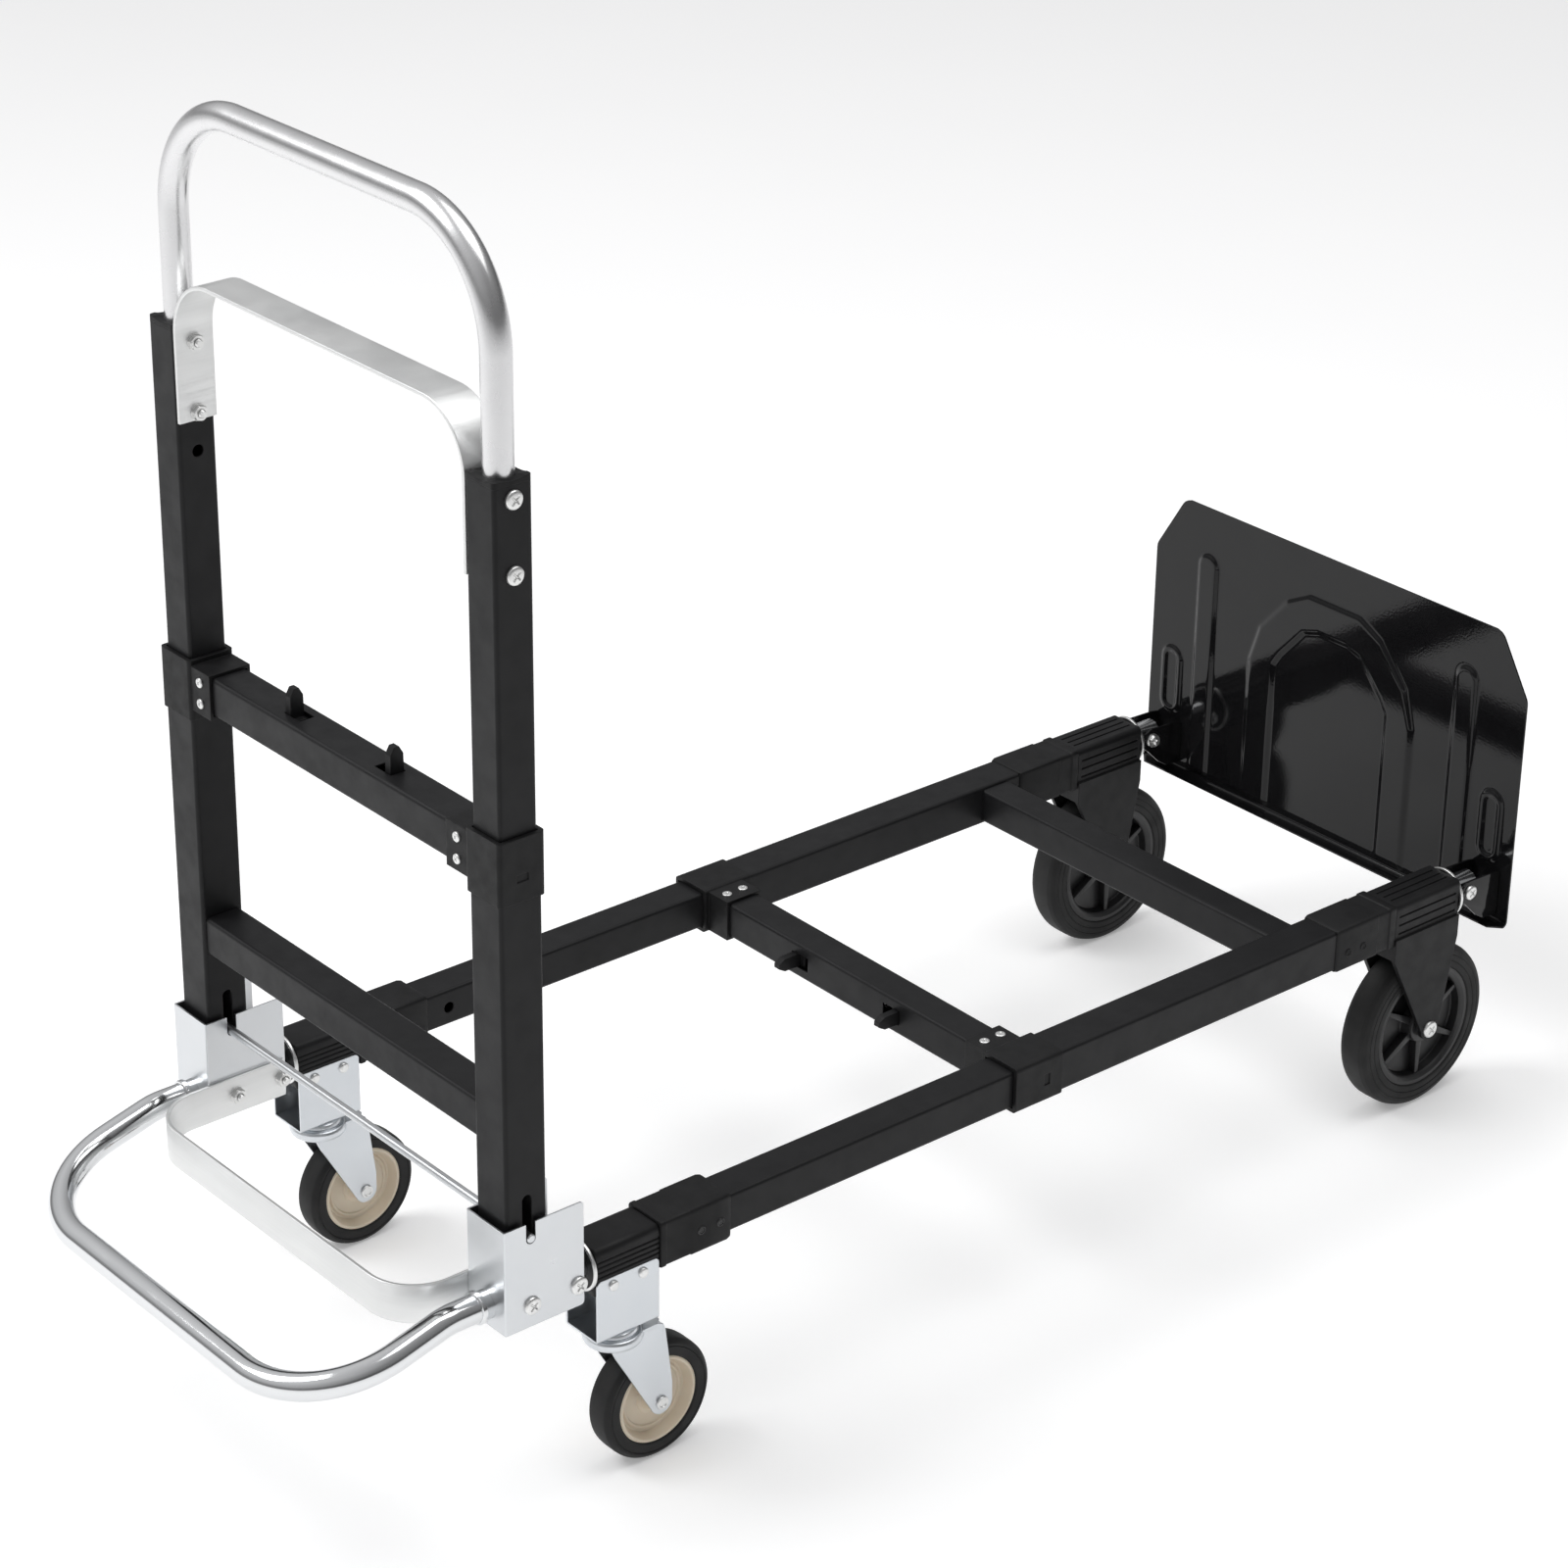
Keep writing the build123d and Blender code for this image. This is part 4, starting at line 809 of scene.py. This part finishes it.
# ---- rear wheels --------------------------------------------------------------------------
def rear_wheel(side_name, s):
    x = s * RAIL_X
    axle = (x, back(REAR_AXLE[0]), up(REAR_AXLE[1]))
    half = [(13.6, 55.02), (14.9, 56.2), (14.9, 60.6), (14.2, 61.3), (14.9, 62.0), (14.9, 66.0), (14.3, 66.6),
            (14.8, 67.4), (14.3, 70.0), (12.2, 73.4), (8.5, 74.8), (5.0, 75.0)]
    radii = [0, 0.6, 0.4, 0.3, 0.4, 0.4, 0.3, 0.4, 1.2, 2.0, 1.5, 0]
    tyre_profile = rounded_profile(both_sides(half), mirrored_radii(radii), 3)
    piece(f"rear_tyre_{side_name}_detail", *lathe(tyre_profile, axle, "X", 192), "tyre_rubber",
          f"rear_wheel_{side_name}", [f"rear_tyre_{side_name}"], smooth_angle=50)

    rim_half = [(14.0, 55.0), (14.0, 51.5), (12.6, 49.0), (11.0, 47.6), (3.2, 46.6), (3.2, 17.0),
                (10.5, 15.4), (14.0, 14.6), (14.0, 5.05)]
    rim_radii = [0, 0.8, 0.8, 1.0, 1.2, 1.2, 0.8, 0.8, 0]
    rim = lathe(rounded_profile(both_sides(rim_half), mirrored_radii(rim_radii), 3), axle, "X", 144)
    spokes = []
    for end in (1, -1):
        for k in range(6):
            angle = math.radians(90 + 60 * k)
            c, sn = math.cos(angle), math.sin(angle)
            outline = [(14.5, -3.4), (47.4, -1.9), (47.4, 1.9), (14.5, 3.4)]
            spokes.append(plate(outline, 7.6, lambda a, b, t, c=c, sn=sn, end=end: (
                x + end * (3.1 + t), axle[1] + a * c - b * sn, axle[2] + a * sn + b * c)))
    piece(f"rear_hub_{side_name}_detail", *merge(rim, *spokes), "hub_plastic", f"rear_wheel_{side_name}",
          [f"rear_hub_{side_name}"], smooth_angle=35, bevel=0.5, segments=2)

    outer = pan_head((x + s * 21.02, axle[1], axle[2]), (s, 0, 0), 7.6, 2.9)
    shaft = along_axis([(-21.0, 4.95), (21.0, 4.95)], axle, (1, 0, 0))
    piece(f"rear_axle_{side_name}_detail", *merge(outer, shaft), "screw_steel", f"rear_fork_{side_name}",
          [f"rear_axle_{side_name}"], smooth_angle=40)
    clip = along_axis(rounded_profile([(0, 5.0), (0, 8.0), (1.6, 8.0), (2.8, 5.6), (2.8, 0.01)], 0.4, 3),
                      (x - s * 21.02, axle[1], axle[2]), (-s, 0, 0))
    piece(f"rear_axle_cap_{side_name}", *clip, "screw_steel", f"rear_fork_{side_name}", smooth_angle=40)


for side_name, s in SIDES:
    rear_wheel(side_name, s)


# ---- toe plate ----------------------------------------------------------------------------
def polygon_distance(px, pz, outline):
    """Signed distance to a closed outline, negative inside."""
    best = np.full(px.shape, 1e9)
    inside = np.zeros(px.shape, bool)
    for k in range(len(outline)):
        ax, az = outline[k - 1]
        bx, bz = outline[k]
        dx, dz = bx - ax, bz - az
        t = np.clip(((px - ax) * dx + (pz - az) * dz) / (dx * dx + dz * dz), 0, 1)
        best = np.minimum(best, np.hypot(px - ax - t * dx, pz - az - t * dz))
        crosses = (az > pz) != (bz > pz)
        with np.errstate(divide="ignore", invalid="ignore"):
            at = ax + (pz - az) * dx / (dz if dz else 1e-9)
        inside ^= crosses & (px < at)
    return np.where(inside, -best, best)


def raised(distance, slope_width):
    """1 well inside a shape, 0 outside, with a smooth flank."""
    t = np.clip(0.5 - distance / slope_width, 0, 1)
    return t * t * (3 - 2 * t)


def plate_relief(px, pz):
    """Height of the pressed ribs towards the handle end; pz is above the rails' centre line."""
    ax = np.abs(px)
    rib = np.hypot(ax - 152.5, np.maximum(pz - 169.0, 0)) - 11.0
    relief = 2.2 * raised(rib, 5.0)
    loop_z = np.clip(pz, 25.0, 66.0)
    loop = np.abs(np.hypot(ax - 191.0, pz - loop_z) - 9.5) - 2.6
    relief = np.maximum(relief, 1.9 * raised(loop, 3.2))
    outer = both_sides([(90, -60), (90, 99), (80, 131), (51, 164), (28, 176)])
    inner = both_sides([(64, -60), (64, 104), (57, 115), (32, 144), (16, 149)])
    band = raised(polygon_distance(px, pz, outer) - 6.5, 6.0)
    hollow = raised(polygon_distance(px, pz, inner) - 3.0, 5.0)
    return np.maximum(relief, 2.2 * band * (1 - 0.85 * hollow))


def toe_plate():
    half, top, bottom = 218.0, 225.0, -40.0
    fold = 3.5
    heights = list(np.linspace(top, bottom + fold, 176))
    rows = [(z, 0.0) for z in heights]
    rows += [(bottom + fold - fold * math.sin(a), -fold + fold * math.cos(a))
             for a in np.linspace(0, math.pi / 2, 8)[1:]]
    rows += [(bottom, y) for y in np.linspace(-fold, -12.8, 8)[1:]]
    corner = rounded_profile([(half, -200), (half, 171), (185, 225), (0, 225)], [0, 14, 14, 0], 12)
    corner_x = np.array([p[0] for p in corner])
    corner_z = np.array([p[1] for p in corner])
    order = np.argsort(corner_z, kind="stable")
    columns = 291
    u = np.linspace(-1, 1, columns)
    front, rear = [], []
    wall = 1.5
    for index, (z, y) in enumerate(rows):
        if y < -fold:
            width = half - 10.0 * (-y - fold) / (12.8 - fold)
        elif index == 0:
            width = 179.0
        else:
            width = float(np.interp(z, corner_z[order], corner_x[order]))
        px = u * width
        flat = np.full(columns, z)
        fade = 1.0 if y == 0 else 0.0
        relief = plate_relief(px, flat) * fade * np.clip((z - bottom - fold) / 6.0, 0, 1)
        previous = rows[max(index - 1, 0)]
        following = rows[min(index + 1, len(rows) - 1)]
        along = Vector((0, following[1] - previous[1], following[0] - previous[0])).normalized()
        out = Vector((0, along.z, -along.y))
        for a, h in zip(px, relief):
            point = Vector((a, back(TOE_FACE_BACK) + y - h, up(z)))
            front.append(tuple(point))
            rear.append(tuple(point - out * wall))
    count = len(rows)
    vertices = front + rear
    offset = len(front)
    faces = []
    for i in range(count - 1):
        for k in range(columns - 1):
            a = i * columns + k
            faces.append((a, a + 1, a + columns + 1, a + columns))
            faces.append((offset + a, offset + a + columns, offset + a + columns + 1, offset + a + 1))
    rim = [k for k in range(columns)]
    rim += [i * columns + columns - 1 for i in range(1, count)]
    rim += [(count - 1) * columns + k for k in range(columns - 2, -1, -1)]
    rim += [i * columns for i in range(count - 2, 0, -1)]
    for k in range(len(rim)):
        a, b = rim[k], rim[(k + 1) % len(rim)]
        faces.append((a, offset + a, offset + b, b))
    return vertices, faces


tabs = []
for s in (1, -1):
    for end in (1, -1):
        nose = [(TOE_BOLT_BACK + 11.0 * math.cos(a), -0.5 + 11.0 * math.sin(a))
                for a in np.linspace(math.pi / 2, 1.36 * math.pi, 16)]
        outline = [(1039.6, 8.0)] + [(1030, 9.5)] + nose + [(1013, -25), (1024, -32), (1039.6, -33)]
        tabs.append(plate(rounded_profile(outline, 1.0, 2), 2.0,
                          lambda a, b, c, s=s, end=end: (s * RAIL_X + end * (13.5 + c), back(a), up(b))))
piece("toe_plate_detail", *toe_plate(), "toe_gloss", "toe", ["toe_plate"], smooth_angle=45)
piece("toe_tabs", *merge(*tabs), "toe_gloss", "toe", smooth_angle=30, bevel=0.4)


# ---- studio -------------------------------------------------------------------------------
def studio():
    scene = bpy.context.scene
    scene.view_settings.view_transform = "Standard"
    world = bpy.data.worlds.new("studio")
    scene.world = world
    world.use_nodes = True
    nodes, links = world.node_tree.nodes, world.node_tree.links
    coord = nodes.new("ShaderNodeTexCoord")
    split = nodes.new("ShaderNodeSeparateXYZ")
    ramp = nodes.new("ShaderNodeValToRGB")
    links.new(coord.outputs["Generated"], split.inputs["Vector"])
    links.new(split.outputs["Z"], ramp.inputs["Fac"])
    stops = [(0.0, 0.46), (0.08, 0.30), (0.18, 0.34), (0.34, 0.66), (0.55, 0.80), (0.75, 1.0), (1.0, 1.0)]
    while len(ramp.color_ramp.elements) < len(stops):
        ramp.color_ramp.elements.new(0.5)
    for element, (place, level) in zip(ramp.color_ramp.elements, stops):
        element.position = place
        element.color = (level, level, level * 1.01, 1)
    window = nodes.new("ShaderNodeVectorMath")
    window.operation = "DOT_PRODUCT"
    window.inputs[1].default_value = (-0.80, -0.60, 0.0)
    links.new(coord.outputs["Generated"], window.inputs[0])
    side = nodes.new("ShaderNodeMapRange")
    side.inputs["From Min"].default_value = -0.6
    side.inputs["From Max"].default_value = 0.9
    side.inputs["To Min"].default_value = 0.42
    side.inputs["To Max"].default_value = 1.15
    links.new(window.outputs["Value"], side.inputs["Value"])
    scale = nodes.new("ShaderNodeVectorMath")
    scale.operation = "SCALE"
    links.new(ramp.outputs["Color"], scale.inputs[0])
    links.new(side.outputs["Result"], scale.inputs["Scale"])
    links.new(scale.outputs["Vector"], nodes["Background"].inputs["Color"])
    nodes["Background"].inputs["Strength"].default_value = 0.74

    mesh = bpy.data.meshes.new("floor")
    mesh.from_pydata([(-30, -30, 0), (30, -30, 0), (30, 30, 0), (-30, 30, 0)], [], [(0, 1, 2, 3)])
    floor = bpy.data.objects.new("floor", mesh)
    bpy.context.collection.objects.link(floor)
    s = Shader("floor_white", (0.93, 0.93, 0.93), 0.8)
    s.roughness(s.noise(3.0, 2.0), 0.76, 0.88)
    s.bsdf.inputs["Emission Color"].default_value = (1, 1, 1, 1)
    s.bsdf.inputs["Emission Strength"].default_value = 0.24
    mesh.materials.append(s.material)

    def area(name, location, target, size, power):
        light = bpy.data.lights.new(name, "AREA")
        light.shape = "RECTANGLE"
        light.size, light.size_y = size
        light.energy = power
        obj = bpy.data.objects.new(name, light)
        bpy.context.collection.objects.link(obj)
        obj.location = location
        obj.rotation_euler = (Vector(target) - Vector(location)).to_track_quat("-Z", "Y").to_euler()

    area("key", (-1.6, -2.2, 3.4), (0, 0, 0.3), (2.0, 2.0), 74)
    area("top", (0.6, 0.8, 3.8), (0, 0, 0.3), (2.6, 2.6), 50)

    camera = bpy.data.cameras.new("camera")
    camera.sensor_width = 36.0
    camera.lens = 97.86
    camera.shift_x = 0.0745
    camera.shift_y = -0.0275
    camera.clip_end = 100
    obj = bpy.data.objects.new("camera", camera)
    bpy.context.collection.objects.link(obj)
    obj.location = (2.2761, -1.9588, 1.8749)
    obj.rotation_euler = Euler((math.radians(64.28), 0, math.radians(51.22)))
    scene.camera = obj


studio()
